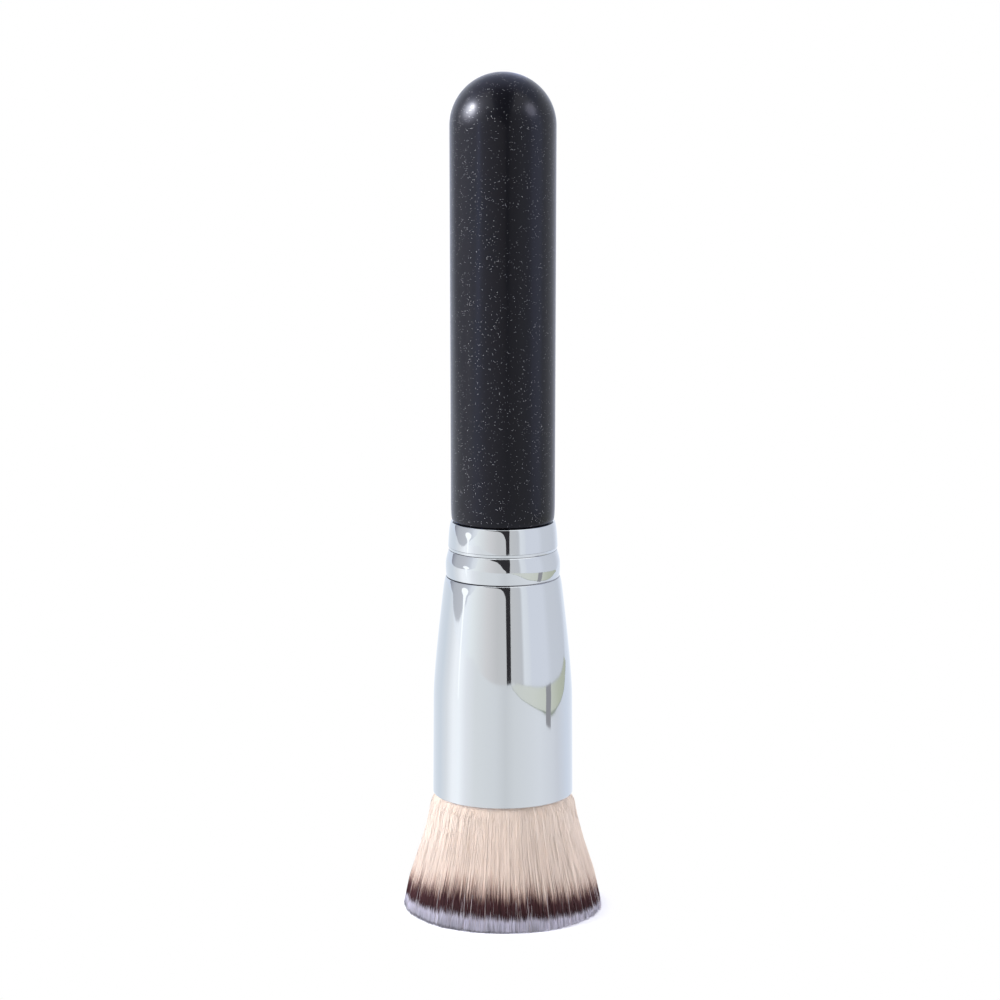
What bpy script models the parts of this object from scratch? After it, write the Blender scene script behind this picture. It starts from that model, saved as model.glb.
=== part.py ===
"""Makeup brush with a flat-cut head, standing on its bristles.

The brush is built from six pieces: a turned and lacquered wooden handle, a spun metal
ferrule, the knot of filaments, the resin plug and binding thread that hold the knot
together, and the ring of adhesive that holds the handle in the ferrule.

Units are metres and +Z is up. The origin is the centre of the flat bristle face, on the
surface that the brush stands on, and +Z runs up the handle.
"""
import math

import bmesh
import bpy
from mathutils import Matrix

OBJECT_NAME = "makeup_brush"

# Lengths along the brush, from the bristle face up
BRISTLE_LENGTH = 0.0214      # filament that shows below the ferrule
FERRULE_LENGTH = 0.0498      # mouth to rim
HANDLE_LENGTH = 0.0793       # shoulder to the top of the dome

# Clearances
SEAT_GAP = 0.0003            # between two pieces that touch
CUT_OVERRUN = 0.001          # how far a cutter reaches past what it cuts

# Handle, above its shoulder
HANDLE_RADIUS = 0.00938          # under the dome
HANDLE_TAPER = 0.0001            # how much less the radius is at the foot
SHOULDER_EASE_HEIGHT = 0.0034    # the lower edge is eased over this height
SHOULDER_EASE_DEPTH = 0.0002     # and by this much in radius
SHOULDER_EDGE_ROUND = 0.0001

# Tenon, the part of the handle that goes into the ferrule
TENON_LENGTH = 0.0150
TENON_CHAMFER = 0.0008
GLUE_GROOVE_COUNT = 3
GLUE_GROOVE_WIDTH = 0.0014
GLUE_GROOVE_DEPTH = 0.0008
GLUE_GROOVE_PITCH = 0.0034
GLUE_RING_TOP_DROP = 0.0030      # top of the adhesive, below the shoulder
GLUE_RING_LENGTH = 0.0108
GLUE_FILM = 0.0005               # thickness of the adhesive between its grooves

# Ferrule, from the rim down
FERRULE_WALL = 0.00045
RIM_ROUND = 0.0003
RIM_CURL_HEIGHT = 0.0012     # the rim is turned in under the handle's shoulder
NECK_LENGTH = 0.00445        # rim to cove
NECK_STEP = 0.0005           # how far the neck's foot stands proud of the handle's
NECK_TAPER = 0.00016         # the neck draws in by this much from its foot to its rim
NECK_CURVE = 0.00016         # and by this much more, most of it near the rim
COVE_HEIGHT = 0.0007         # hollow between neck and bead
COVE_DEPTH = 0.00006
BEAD_HEIGHT = 0.00465
BEAD_SHOULDER_HEIGHT = 0.00275   # the upper part of the bead, which is rounded
BEAD_SHOULDER_DEPTH = 0.00048
BEAD_STEP = 0.0005           # how far the bead stands proud of the neck's foot
CREASE_HEIGHT = 0.00015      # fine hollow between bead and skirt
CREASE_DEPTH = 0.00004
SKIRT_STEP = 0.0001          # how far the skirt's top edge stands proud of the bead
SKIRT_ROUND = 0.00015
CYLINDER_LENGTH = 0.0185     # the nearly straight length above the mouth
CYLINDER_FLARE = 0.00013     # how much it widens on the way down
MOUTH_RADIUS = 0.0126
MOUTH_ROUND = 0.0003
SKIRT_CURVE_EXPONENT = 1.28  # 1 would be a plain cone

# Filaments
FACE_RADIUS = 0.0179             # the flat bristle face
ROOT_DEPTH = 0.0080              # mouth to the resin that the filaments grow from
STRAND_RING_COUNT = 10           # rings of strands round the one on the axis
STRANDS_ADDED_A_RING = 6         # 6, 12, 18 and so on: 331 strands in 10 rings
STRAND_EDGE_MARGIN = 0.00025     # outermost strand to the edge of the resin
STRAND_WIDTH_SHARE = 0.46        # corner radius of a strand, of the distance between rings
STRAND_BEND_SHARE = 0.37         # height of the strand's bend, of BRISTLE_LENGTH
FLARE_EXPONENT = 1.3             # 1 would flare the head like a plain cone
TRIM_DEPTH = 0.0005              # how much the knife takes off to make the face flat
CROWN_HEIGHT = 0.0003            # raw filaments stand this much longer at the centre
SLICE_THICKNESS = 0.0016         # resin fused to the filaments
ROOT_BITE = 0.0008               # how far a strand goes into that resin

# Resin plug behind the filaments, and the thread round it
PLUG_LENGTH = 0.0070
PLUG_DISH_DEPTH = 0.0006         # the poured resin dips at its centre
PLUG_LIP_WIDTH = 0.0010
THREAD_BAND_DROP = 0.0016        # top of the thread band below the top of the plug
THREAD_BAND_HEIGHT = 0.0030
THREAD_BAND_THICKNESS = 0.0005
THREAD_BAND_ROUND = 0.0002

# Facets
TURN_FACET_COUNT = 40
DOME_FACET_COUNT = 9
EASE_FACET_COUNT = 3
NECK_FACET_COUNT = 3
BEAD_FACET_COUNT = 4
SKIRT_FACET_COUNT = 8
HOLLOW_FACET_COUNT = 2
EDGE_FACET_COUNT = 2
DISH_FACET_COUNT = 3
STRAND_SIDE_COUNT = 3
MERGE_DISTANCE = 0.000001
SHARP_ANGLE = math.radians(35)
GOLDEN_ANGLE = math.pi * (3 - math.sqrt(5))

# Heights worked out from the lengths above
mouth_z = BRISTLE_LENGTH
rim_z = mouth_z + FERRULE_LENGTH
shoulder_z = rim_z + SEAT_GAP
handle_top_z = shoulder_z + HANDLE_LENGTH
neck_bottom_z = rim_z - NECK_LENGTH
bead_top_z = neck_bottom_z - COVE_HEIGHT
bead_bottom_z = bead_top_z - BEAD_HEIGHT
skirt_top_z = bead_bottom_z - CREASE_HEIGHT
cylinder_top_z = mouth_z + CYLINDER_LENGTH
strand_bend_z = BRISTLE_LENGTH * STRAND_BEND_SHARE
slice_bottom_z = mouth_z + ROOT_DEPTH
slice_top_z = slice_bottom_z + SLICE_THICKNESS
plug_bottom_z = slice_top_z + SEAT_GAP
plug_top_z = plug_bottom_z + PLUG_LENGTH

# Radii worked out from the sizes above
handle_foot_radius = HANDLE_RADIUS - HANDLE_TAPER
neck_foot_radius = handle_foot_radius + NECK_STEP
neck_rim_radius = neck_foot_radius - NECK_TAPER - NECK_CURVE
bead_radius = neck_foot_radius + BEAD_STEP
skirt_top_radius = bead_radius + SKIRT_STEP
neck_bore = neck_rim_radius - FERRULE_WALL
tenon_radius = neck_bore - SEAT_GAP - GLUE_FILM - SEAT_GAP
rim_bore = tenon_radius + SEAT_GAP


def clear_scene():
    """Remove what the scene holds, so that the script can be run again."""
    for old in list(bpy.data.objects):
        bpy.data.objects.remove(old, do_unlink=True)
    for old in list(bpy.data.collections):
        bpy.data.collections.remove(old)


def new_collection(name):
    collection = bpy.data.collections.new(name)
    bpy.context.scene.collection.children.link(collection)
    return collection


def plain_material(name, colour, roughness, metallic):
    """One Principled material: colour is linear red, green and blue."""
    material = bpy.data.materials.new(name)
    material.use_nodes = True
    shader = material.node_tree.nodes["Principled BSDF"]
    shader.inputs["Base Color"].default_value = (*colour, 1)
    shader.inputs["Roughness"].default_value = roughness
    shader.inputs["Metallic"].default_value = metallic
    material.diffuse_color = (*colour, 1)
    return material


def mesh_object(name, bm, collection, material=None):
    mesh = bpy.data.meshes.new(name)
    bm.to_mesh(mesh)
    bm.free()
    made = bpy.data.objects.new(name, mesh)
    if material:
        mesh.materials.append(material)
    collection.objects.link(made)
    return made


def ellipse_quarter(centre, half_width, half_height, start, end, points):
    """Points on an ellipse round centre, from the start angle to the end angle."""
    centre_r, centre_z = centre
    turned = []
    for step in range(points + 1):
        angle = start + (end - start) * step / points
        r = centre_r + half_width * math.cos(angle)
        z = centre_z + half_height * math.sin(angle)
        turned.append((r, z))
    return turned


def hollow(top, bottom, depth, points):
    """A shallow cove between two points of a profile, dipping by depth at its middle."""
    coved = []
    for step in range(1, points):
        share = step / points
        r = top[0] + (bottom[0] - top[0]) * share - depth * math.sin(math.pi * share)
        z = top[1] + (bottom[1] - top[1]) * share
        coved.append((r, z))
    return coved


def turned_piece(name, profile, collection, material, closed=False):
    """Turn a profile of (radius, height) points, which runs down the outer side, round Z."""
    bm = bmesh.new()
    corners = [bm.verts.new((r, 0, z)) for r, z in profile]
    for first, second in zip(corners, corners[1:]):
        bm.edges.new((first, second))
    if closed:
        bm.edges.new((corners[-1], corners[0]))
    piece = mesh_object(name, bm, collection)
    screw = piece.modifiers.new("turn", "SCREW")
    screw.axis = "Z"
    screw.steps = TURN_FACET_COUNT
    screw.render_steps = TURN_FACET_COUNT
    screw.use_merge_vertices = True
    screw.merge_threshold = MERGE_DISTANCE
    keep_turned_shape(piece)
    piece.data.materials.append(material)
    return piece


def keep_turned_shape(piece):
    """Replace the profile by its turned mesh, smooth but for its real edges."""
    drawn = piece.data
    evaluated = piece.evaluated_get(bpy.context.evaluated_depsgraph_get())
    turned = bpy.data.meshes.new_from_object(evaluated)
    piece.modifiers.clear()
    piece.data = turned
    bpy.data.meshes.remove(drawn)
    turned.name = piece.name
    turned.shade_smooth()
    turned.set_sharp_from_angle(angle=SHARP_ANGLE)


def outer_profile():
    """The ferrule's outer side, from the top of the rim down to the mouth."""
    quarter = math.pi / 2
    rim_edge_z = rim_z - RIM_ROUND
    rim = ellipse_quarter(
        (neck_rim_radius - RIM_ROUND, rim_edge_z),
        RIM_ROUND, RIM_ROUND, quarter, 0, EDGE_FACET_COUNT)
    neck = []
    for step in range(1, NECK_FACET_COUNT + 1):
        share = 1 - step / NECK_FACET_COUNT
        r = neck_foot_radius - NECK_TAPER * share - NECK_CURVE * share ** 2
        neck.append((r, neck_bottom_z + (rim_edge_z - neck_bottom_z) * share))
    bead = []
    for step in range(BEAD_FACET_COUNT + 1):
        share = 1 - step / BEAD_FACET_COUNT
        drop = BEAD_SHOULDER_HEIGHT * (1 - share)
        bead.append((bead_radius - BEAD_SHOULDER_DEPTH * share ** 2, bead_top_z - drop))
    bead.append((bead_radius, bead_bottom_z))
    skirt_head = (skirt_top_radius - SKIRT_ROUND, skirt_top_z)
    skirt = []
    for step in range(SKIRT_FACET_COUNT + 1):
        z = skirt_top_z - SKIRT_ROUND
        z += (cylinder_top_z - z) * step / SKIRT_FACET_COUNT
        skirt.append((skirt_radius(z), z))
    mouth = ellipse_quarter(
        (MOUTH_RADIUS - MOUTH_ROUND, mouth_z + MOUTH_ROUND),
        MOUTH_ROUND, MOUTH_ROUND, 0, -quarter, EDGE_FACET_COUNT)
    cove = hollow(neck[-1], bead[0], COVE_DEPTH, HOLLOW_FACET_COUNT)
    crease = hollow(bead[-1], skirt_head, CREASE_DEPTH, HOLLOW_FACET_COUNT)
    return rim + neck + cove + bead + crease + [skirt_head] + skirt + mouth


def skirt_radius(z):
    """Outer radius of the ferrule below the bead: a soft cone above a flared cylinder."""
    cylinder_top_radius = MOUTH_RADIUS - CYLINDER_FLARE
    if z <= cylinder_top_z:
        return MOUTH_RADIUS - CYLINDER_FLARE * (z - mouth_z) / CYLINDER_LENGTH
    share = (z - cylinder_top_z) / (skirt_top_z - cylinder_top_z)
    narrowing = cylinder_top_radius - skirt_top_radius
    return cylinder_top_radius - narrowing * share ** SKIRT_CURVE_EXPONENT


def bore_radius(z):
    """Inner radius of the ferrule's skirt: the wall has one thickness."""
    return skirt_radius(z) - FERRULE_WALL


def inner_profile():
    """The ferrule's inner side, from the mouth up to the rim, one wall inside the outer."""
    mouth = (bore_radius(mouth_z), mouth_z)
    cone = []
    for step in range(SKIRT_FACET_COUNT + 1):
        z = cylinder_top_z + (skirt_top_z - cylinder_top_z) * step / SKIRT_FACET_COUNT
        cone.append((bore_radius(z), z))
    bead_bore = bead_radius - FERRULE_WALL
    bead = [(bead_bore, bead_bottom_z), (bead_bore, bead_top_z - BEAD_SHOULDER_HEIGHT)]
    neck = [(neck_bore, bead_top_z), (neck_bore, rim_z - RIM_CURL_HEIGHT)]
    return [mouth] + cone + bead + neck + [(rim_bore, rim_z)]


def build_ferrule(collection):
    chrome = plain_material("chrome_plated_brass", (0.63, 0.66, 0.72), 0.06, 1)
    return turned_piece(
        "ferrule", outer_profile() + inner_profile(), collection, chrome, closed=True)


def groove_heights():
    """Top and bottom of each glue groove in the tenon, from the top down."""
    ring_middle = shoulder_z - GLUE_RING_TOP_DROP - GLUE_RING_LENGTH / 2
    first_middle = ring_middle + GLUE_GROOVE_PITCH * (GLUE_GROOVE_COUNT - 1) / 2
    heights = []
    for groove in range(GLUE_GROOVE_COUNT):
        middle = first_middle - GLUE_GROOVE_PITCH * groove
        heights.append((middle + GLUE_GROOVE_WIDTH / 2, middle - GLUE_GROOVE_WIDTH / 2))
    return heights


def build_handle(collection):
    lacquer = plain_material("black_lacquered_wood", (0.012, 0.012, 0.015), 0.38, 0)
    dome = ellipse_quarter(
        (0, handle_top_z - HANDLE_RADIUS), HANDLE_RADIUS, HANDLE_RADIUS,
        math.pi / 2, 0, DOME_FACET_COUNT)
    eased_radius = handle_foot_radius - SHOULDER_EASE_DEPTH
    ease = ellipse_quarter(
        (eased_radius, shoulder_z + SHOULDER_EASE_HEIGHT),
        SHOULDER_EASE_DEPTH, SHOULDER_EASE_HEIGHT - SHOULDER_EDGE_ROUND,
        0, -math.pi / 2, EASE_FACET_COUNT)
    shoulder = [(eased_radius - SHOULDER_EDGE_ROUND, shoulder_z), (tenon_radius, shoulder_z)]
    tenon = []
    for top, bottom in groove_heights():
        floor_radius = tenon_radius - GLUE_GROOVE_DEPTH
        tenon += [(tenon_radius, top), (floor_radius, top)]
        tenon += [(floor_radius, bottom), (tenon_radius, bottom)]
    tenon_foot_z = shoulder_z - TENON_LENGTH
    foot = [
        (tenon_radius, tenon_foot_z + TENON_CHAMFER),
        (tenon_radius - TENON_CHAMFER, tenon_foot_z),
        (0, tenon_foot_z),
    ]
    return turned_piece(
        "handle", dome + ease + shoulder + tenon + foot, collection, lacquer)


def build_handle_glue(collection):
    """Cured adhesive: a sleeve between tenon and neck whose inner ribs fill the grooves."""
    epoxy = plain_material("cured_adhesive", (0.55, 0.42, 0.22), 0.3, 0)
    top_z = shoulder_z - GLUE_RING_TOP_DROP
    bottom_z = top_z - GLUE_RING_LENGTH
    outer = neck_bore - SEAT_GAP
    inner = tenon_radius + SEAT_GAP
    rib = inner - GLUE_GROOVE_DEPTH
    profile = [(outer, top_z), (outer, bottom_z), (inner, bottom_z)]
    for groove_top, groove_bottom in reversed(groove_heights()):
        rib_bottom = groove_bottom + SEAT_GAP
        rib_top = groove_top - SEAT_GAP
        profile += [(inner, rib_bottom), (rib, rib_bottom), (rib, rib_top), (inner, rib_top)]
    profile.append((inner, top_z))
    return turned_piece("handle_glue", profile, collection, epoxy, closed=True)


def plug_radius():
    """The resin clears the ferrule's bore at its narrower end."""
    return min(bore_radius(mouth_z), bore_radius(plug_top_z)) - SEAT_GAP


def build_resin_plug(collection):
    resin = plain_material("root_resin", (0.36, 0.22, 0.09), 0.25, 0)
    radius = plug_radius()
    dish_radius = radius - PLUG_LIP_WIDTH
    dish = ellipse_quarter(
        (0, plug_top_z), dish_radius, PLUG_DISH_DEPTH, -math.pi / 2, 0, DISH_FACET_COUNT)
    band_top = plug_top_z - THREAD_BAND_DROP + SEAT_GAP
    band_bottom = plug_top_z - THREAD_BAND_DROP - THREAD_BAND_HEIGHT - SEAT_GAP
    waist = thread_inner_radius() - SEAT_GAP
    side = [
        (radius, plug_top_z),
        (radius, band_top), (waist, band_top), (waist, band_bottom), (radius, band_bottom),
        (radius, plug_bottom_z), (0, plug_bottom_z),
    ]
    return turned_piece("resin_plug", dish + side, collection, resin)


def thread_inner_radius():
    """The thread band lies in the plug's waist, flush with the plug or just inside it."""
    return plug_radius() - THREAD_BAND_THICKNESS - SEAT_GAP


def build_binding_thread(collection):
    thread = plain_material("waxed_binding_thread", (0.62, 0.58, 0.5), 0.8, 0)
    top_z = plug_top_z - THREAD_BAND_DROP
    bottom_z = top_z - THREAD_BAND_HEIGHT
    inner = thread_inner_radius()
    outer = inner + THREAD_BAND_THICKNESS
    profile = [
        (outer - THREAD_BAND_ROUND, top_z),
        (outer, top_z - THREAD_BAND_ROUND),
        (outer, bottom_z + THREAD_BAND_ROUND),
        (outer - THREAD_BAND_ROUND, bottom_z),
        (inner, bottom_z),
        (inner, top_z),
    ]
    return turned_piece("binding_thread", profile, collection, thread, closed=True)


def head_radius(z):
    """Radius of the bundle of filaments: straight in the ferrule, flaring below its mouth.

    The raw ends, under the face, run on straight, so the cut face has FACE_RADIUS.
    """
    throat = plug_radius() - STRAND_EDGE_MARGIN
    if z >= mouth_z:
        return throat
    if z >= 0:
        return FACE_RADIUS - (FACE_RADIUS - throat) * (z / mouth_z) ** FLARE_EXPONENT
    flare = (FACE_RADIUS - head_radius(strand_bend_z)) / strand_bend_z
    return FACE_RADIUS - flare * z


def strand_places():
    """Where each strand stands in a bundle of radius 1, and how wide it is there.

    One strand is on the axis, inside rings of 6, 12, 18 and more, which keeps all of them
    about equally far apart. Each ring is turned against the next, so that no rows show.
    """
    ring_distance = 1 / (STRAND_RING_COUNT + STRAND_WIDTH_SHARE)
    places = [(0, 0, 0)]
    for ring in range(1, STRAND_RING_COUNT + 1):
        radius = ring_distance * ring
        count = STRANDS_ADDED_A_RING * ring
        first = GOLDEN_ANGLE * (STRAND_RING_COUNT - ring)
        for index in range(count):
            angle = first + 2 * math.pi * index / count
            places.append((radius * math.cos(angle), radius * math.sin(angle), angle))
    return places, STRAND_WIDTH_SHARE * ring_distance


def build_straight_bundle(collection, material):
    """Parallel prisms, one for each strand, as wide apart as the finished face."""
    bm = bmesh.new()
    places, width = strand_places()
    top_z = slice_bottom_z + ROOT_BITE
    for x_share, y_share, turn in places:
        off_axis = math.hypot(x_share, y_share)
        bottom_z = -TRIM_DEPTH - CROWN_HEIGHT * (1 - off_axis ** 2)
        middle = (x_share * FACE_RADIUS, y_share * FACE_RADIUS, (top_z + bottom_z) / 2)
        corner_outwards = turn - math.pi / 2
        bmesh.ops.create_cone(
            bm, cap_ends=True, segments=STRAND_SIDE_COUNT, depth=top_z - bottom_z,
            radius1=width * FACE_RADIUS, radius2=width * FACE_RADIUS,
            matrix=Matrix.Translation(middle) @ Matrix.Rotation(corner_outwards, 4, "Z"))
    for height in (mouth_z, strand_bend_z):
        every = bm.verts[:] + bm.edges[:] + bm.faces[:]
        bmesh.ops.bisect_plane(
            bm, geom=every, dist=MERGE_DISTANCE, plane_co=(0, 0, height), plane_no=(0, 0, 1))
    return mesh_object("bristles", bm, collection, material)


def spread_bundle(bundle):
    """Draw the bundle in towards the ferrule.

    Every level is scaled about the axis as a whole, so strands that are apart in the
    straight bundle stay apart and none can cross.
    """
    for vertex in bundle.data.vertices:
        narrowing = head_radius(vertex.co.z) / FACE_RADIUS
        vertex.co.x *= narrowing
        vertex.co.y *= narrowing


def build_bristles(collection, cutters):
    """Strands fused to a slice of the resin that they grow from, and cut flat below."""
    filament = banded_material()
    bristles = build_straight_bundle(collection, filament)
    spread_bundle(bristles)

    bm = bmesh.new()
    bmesh.ops.create_cone(
        bm, cap_ends=True, segments=TURN_FACET_COUNT, depth=SLICE_THICKNESS,
        radius1=plug_radius(), radius2=plug_radius(),
        matrix=Matrix.Translation((0, 0, slice_bottom_z + SLICE_THICKNESS / 2)))
    resin_slice = mesh_object("resin_slice_tool", bm, cutters)

    bm = bmesh.new()
    knife_depth = TRIM_DEPTH + CROWN_HEIGHT + CUT_OVERRUN
    knife_width = 2 * (FACE_RADIUS + CUT_OVERRUN)
    bmesh.ops.create_cube(bm, size=1)
    bmesh.ops.scale(bm, vec=(knife_width, knife_width, knife_depth), verts=bm.verts)
    bmesh.ops.translate(bm, vec=(0, 0, -knife_depth / 2), verts=bm.verts)
    trimming_knife = mesh_object("trimming_knife_tool", bm, cutters)

    for name, operation, tool in (
        ("fuse_to_resin", "UNION", resin_slice),
        ("trim_flat", "DIFFERENCE", trimming_knife),
    ):
        cut = bristles.modifiers.new(name, "BOOLEAN")
        cut.operation = operation
        cut.solver = "EXACT"
        cut.object = tool
        tool.hide_render = True
        tool.display_type = "WIRE"
    return bristles


def banded_material():
    """Cream filaments with a brown band and white tips, by height above the face."""
    bands = (
        (0.0000, (0.55, 0.54, 0.66)),
        (0.0030, (0.50, 0.48, 0.58)),
        (0.0042, (0.09, 0.05, 0.05)),
        (0.0070, (0.14, 0.08, 0.07)),
        (0.0088, (0.66, 0.50, 0.42)),
        (0.0300, (0.78, 0.64, 0.54)),
    )
    material = plain_material("synthetic_filament", bands[-1][1], 0.5, 0)
    nodes = material.node_tree.nodes
    links = material.node_tree.links
    place = nodes.new("ShaderNodeTexCoord")
    split = nodes.new("ShaderNodeSeparateXYZ")
    height = nodes.new("ShaderNodeMapRange")
    ramp = nodes.new("ShaderNodeValToRGB")
    height.inputs["From Max"].default_value = bands[-1][0]
    links.new(place.outputs["Object"], split.inputs["Vector"])
    links.new(split.outputs["Z"], height.inputs["Value"])
    links.new(height.outputs["Result"], ramp.inputs["Fac"])
    links.new(ramp.outputs["Color"], nodes["Principled BSDF"].inputs["Base Color"])
    stops = ramp.color_ramp.elements
    while len(stops) < len(bands):
        stops.new(1)
    for stop, (z, colour) in zip(stops, bands):
        stop.position = z / bands[-1][0]
        stop.color = (*colour, 1)
    return material


def main():
    clear_scene()
    brush = new_collection(OBJECT_NAME)
    cutters = new_collection("cutters")
    build_handle(brush)
    build_ferrule(brush)
    build_handle_glue(brush)
    build_resin_plug(brush)
    build_binding_thread(brush)
    build_bristles(brush, cutters)


main()
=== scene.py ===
# %% [markdown]
# # Dressing a makeup brush in Blender
#
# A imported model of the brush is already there: its pieces have the right sizes and places,
# but plain surfaces. This script gives it its looks. It goes from the top of the brush to
# the bottom: the lacquered handle, the chrome ferrule, and then the thousands of filaments.
# A small studio comes last, because lights can only be judged on finished surfaces.

# %% Load the frame
import math

import bmesh
import bpy
import numpy
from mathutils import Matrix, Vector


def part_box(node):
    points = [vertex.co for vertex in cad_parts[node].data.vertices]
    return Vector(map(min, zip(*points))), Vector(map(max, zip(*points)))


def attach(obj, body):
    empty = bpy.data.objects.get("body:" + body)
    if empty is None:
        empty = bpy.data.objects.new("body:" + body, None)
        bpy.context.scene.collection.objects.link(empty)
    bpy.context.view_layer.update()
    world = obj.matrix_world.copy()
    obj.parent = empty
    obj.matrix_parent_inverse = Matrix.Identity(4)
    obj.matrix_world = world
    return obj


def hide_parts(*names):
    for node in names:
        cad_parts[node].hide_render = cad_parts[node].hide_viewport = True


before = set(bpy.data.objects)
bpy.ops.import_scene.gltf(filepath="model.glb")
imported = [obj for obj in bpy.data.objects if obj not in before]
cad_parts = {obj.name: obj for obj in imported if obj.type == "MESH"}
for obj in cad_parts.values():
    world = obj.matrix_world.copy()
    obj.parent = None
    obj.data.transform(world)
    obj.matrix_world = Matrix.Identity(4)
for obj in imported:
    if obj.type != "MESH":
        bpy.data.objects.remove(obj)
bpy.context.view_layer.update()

MM = 0.001

handle_low, handle_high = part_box("handle")
ferrule_low, ferrule_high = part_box("ferrule")
head_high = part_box("bristles")[1]
print("nodes in the frame:", sorted(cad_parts))

# %% [markdown]
# ## Sizes that come from the frame
#
# Every finer piece has to sit exactly where the plain one is. So the main sizes are read
# from the frame and not typed again, and only small details, such as the depth of a groove,
# get a value of their own. The gap round a glued seat and the thickness of the ferrule's wall
# can't be read from a box, so these two repeat the plain model's.

# %% Read the main sizes
HANDLE_RADIUS = handle_high[0]
HANDLE_TOP_Z = handle_high[2]
TENON_FOOT_Z = handle_low[2]
MOUTH_RADIUS = ferrule_high[0]
MOUTH_Z = ferrule_low[2]
RIM_Z = ferrule_high[2]
FACE_RADIUS = head_high[0]
SEAT_GAP = 0.3 * MM
SHOULDER_Z = RIM_Z + SEAT_GAP
FERRULE_WALL = 0.45 * MM
for name, size in (("handle radius", HANDLE_RADIUS), ("mouth radius", MOUTH_RADIUS),
                   ("face radius", FACE_RADIUS), ("overall length", HANDLE_TOP_Z)):
    print(f"{name}: {size / MM:.2f} mm")

# %% [markdown]
# ## Helpers
#
# A node tree is easier to read when each node takes one line. `fill_sockets` fills a node's
# sockets: with a plain value, with a link from another node's first output, or with a link
# from the very socket that is named. `add_node` makes a node, sets its settings and fills its
# sockets in the same way. Both work for shader nodes and for geometry nodes alike.

# %% Two helpers for all nodes
def fill_sockets(tree, node, inputs):
    """Fill a node's sockets; inputs maps a socket's name or number to its value or source."""
    for socket, value in inputs.items():
        if isinstance(value, bpy.types.Node):
            value = value.outputs[0]
        if isinstance(value, bpy.types.NodeSocket):
            tree.links.new(value, node.inputs[socket])
        else:
            node.inputs[socket].default_value = value


def add_node(tree, kind, inputs=None, **settings):
    """Add a node with its settings and fill its sockets."""
    made = tree.nodes.new(kind)
    for setting, value in settings.items():
        setattr(made, setting, value)
    fill_sockets(tree, made, inputs or {})
    return made


# %% [markdown]
# Colours are easiest to pick as hex values, which are written in sRGB. Blender's sockets
# hold linear light, so one function turns the one into the other. Its numbers are those of
# the sRGB standard.

# %% Colours
def linear(hex_colour):
    """Turn an sRGB hex colour, such as "#C0FFEE", into linear red, green, blue and alpha."""
    channels = []
    for start in (1, 3, 5):
        value = int(hex_colour[start:start + 2], 16) / 255
        channels.append(value / 12.92 if value <= 0.04045 else ((value + 0.055) / 1.055) ** 2.4)
    return (*channels, 1.0)


print("a middle grey in linear light:", round(linear("#808080")[0], 3))

# %% [markdown]
# Every finish starts the same way: a new material with one shader that is linked to its
# output. On the brush that is a Principled shader, which can be lacquer, metal, plastic or
# resin. The papers of the studio shine by themselves, so they take an emission instead.

# %% A new material
def new_material(name, kind="ShaderNodeBsdfPrincipled"):
    """A material with one shader, linked to its output."""
    material = bpy.data.materials.new(name)
    material.use_nodes = True
    tree = material.node_tree
    tree.nodes.clear()
    shader = add_node(tree, kind)
    add_node(tree, "ShaderNodeOutputMaterial", {"Surface": shader})
    return material, tree, shader


# %% [markdown]
# A piece is drawn point by point or grown by a modifier, and then turned into a plain mesh,
# so that nothing is computed again later. Its object stays at the origin, with its place in
# its mesh. The studio's sheets, lamps and camera are put into the scene the same way.

# %% From a drawing to an object
def mesh_from(bm, name):
    """Turn a bmesh drawing into a mesh."""
    mesh = bpy.data.meshes.new(name)
    bm.to_mesh(mesh)
    bm.free()
    return mesh


def place_object(name, data):
    """Put a mesh, a lamp or a camera into the scene."""
    made = bpy.data.objects.new(name, data)
    bpy.context.scene.collection.objects.link(made)
    return made


def freeze(carrier, name):
    """Turn an object and its modifier into a plain, smooth mesh, and remove the object."""
    evaluated = carrier.evaluated_get(bpy.context.evaluated_depsgraph_get())
    mesh = bpy.data.meshes.new_from_object(evaluated)
    bpy.data.objects.remove(carrier, do_unlink=True)
    mesh.name = name
    mesh.shade_smooth()
    return mesh


def triangles_in(mesh):
    """The number of triangles that a mesh's faces make."""
    return sum(len(face.vertices) - 2 for face in mesh.polygons)


# %% [markdown]
# ## Turned pieces
#
# Handle and ferrule are both made on a lathe on the real brush: one from wood, the other
# spun from sheet metal. The Screw modifier is Blender's lathe. It turns a profile round an
# axis, and it wants the profile drawn down the outer side, so that faces look outwards.
# A mirror finish shows each facet, so the turn has far more steps than the plain model's.

# %% The lathe
TURN_STEPS = 192
SHARP_ANGLE = math.radians(28)
MERGE_DISTANCE = 0.0005 * MM


def turn_profile(name, profile, closed=False):
    """Turn (radius, height) points round Z and return a plain, finished object."""
    bm = bmesh.new()
    corners = [bm.verts.new((r, 0, z)) for r, z in profile]
    for first, second in zip(corners, corners[1:]):
        bm.edges.new((first, second))
    if closed:
        bm.edges.new((corners[-1], corners[0]))
    drawn = mesh_from(bm, name + "_profile")
    lathe = place_object(name + "_lathe", drawn)
    screw = lathe.modifiers.new("turn", "SCREW")
    screw.steps = TURN_STEPS
    screw.render_steps = TURN_STEPS
    screw.use_merge_vertices = True
    screw.merge_threshold = MERGE_DISTANCE
    mesh = freeze(lathe, name)
    bpy.data.meshes.remove(drawn)
    mesh.set_sharp_from_angle(angle=SHARP_ANGLE)
    print(f"{name}: {triangles_in(mesh)} triangles")
    return place_object(name, mesh)


# %% [markdown]
# ## The handle
#
# The handle is one piece of turned wood. Its top is a full dome. Its lower edge is eased
# over a few millimetres, which leaves the thin dark line above the metal rim. Both are
# quarters of an ellipse, so one function draws them. The tenon below goes into the ferrule
# and stays out of sight.

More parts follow.
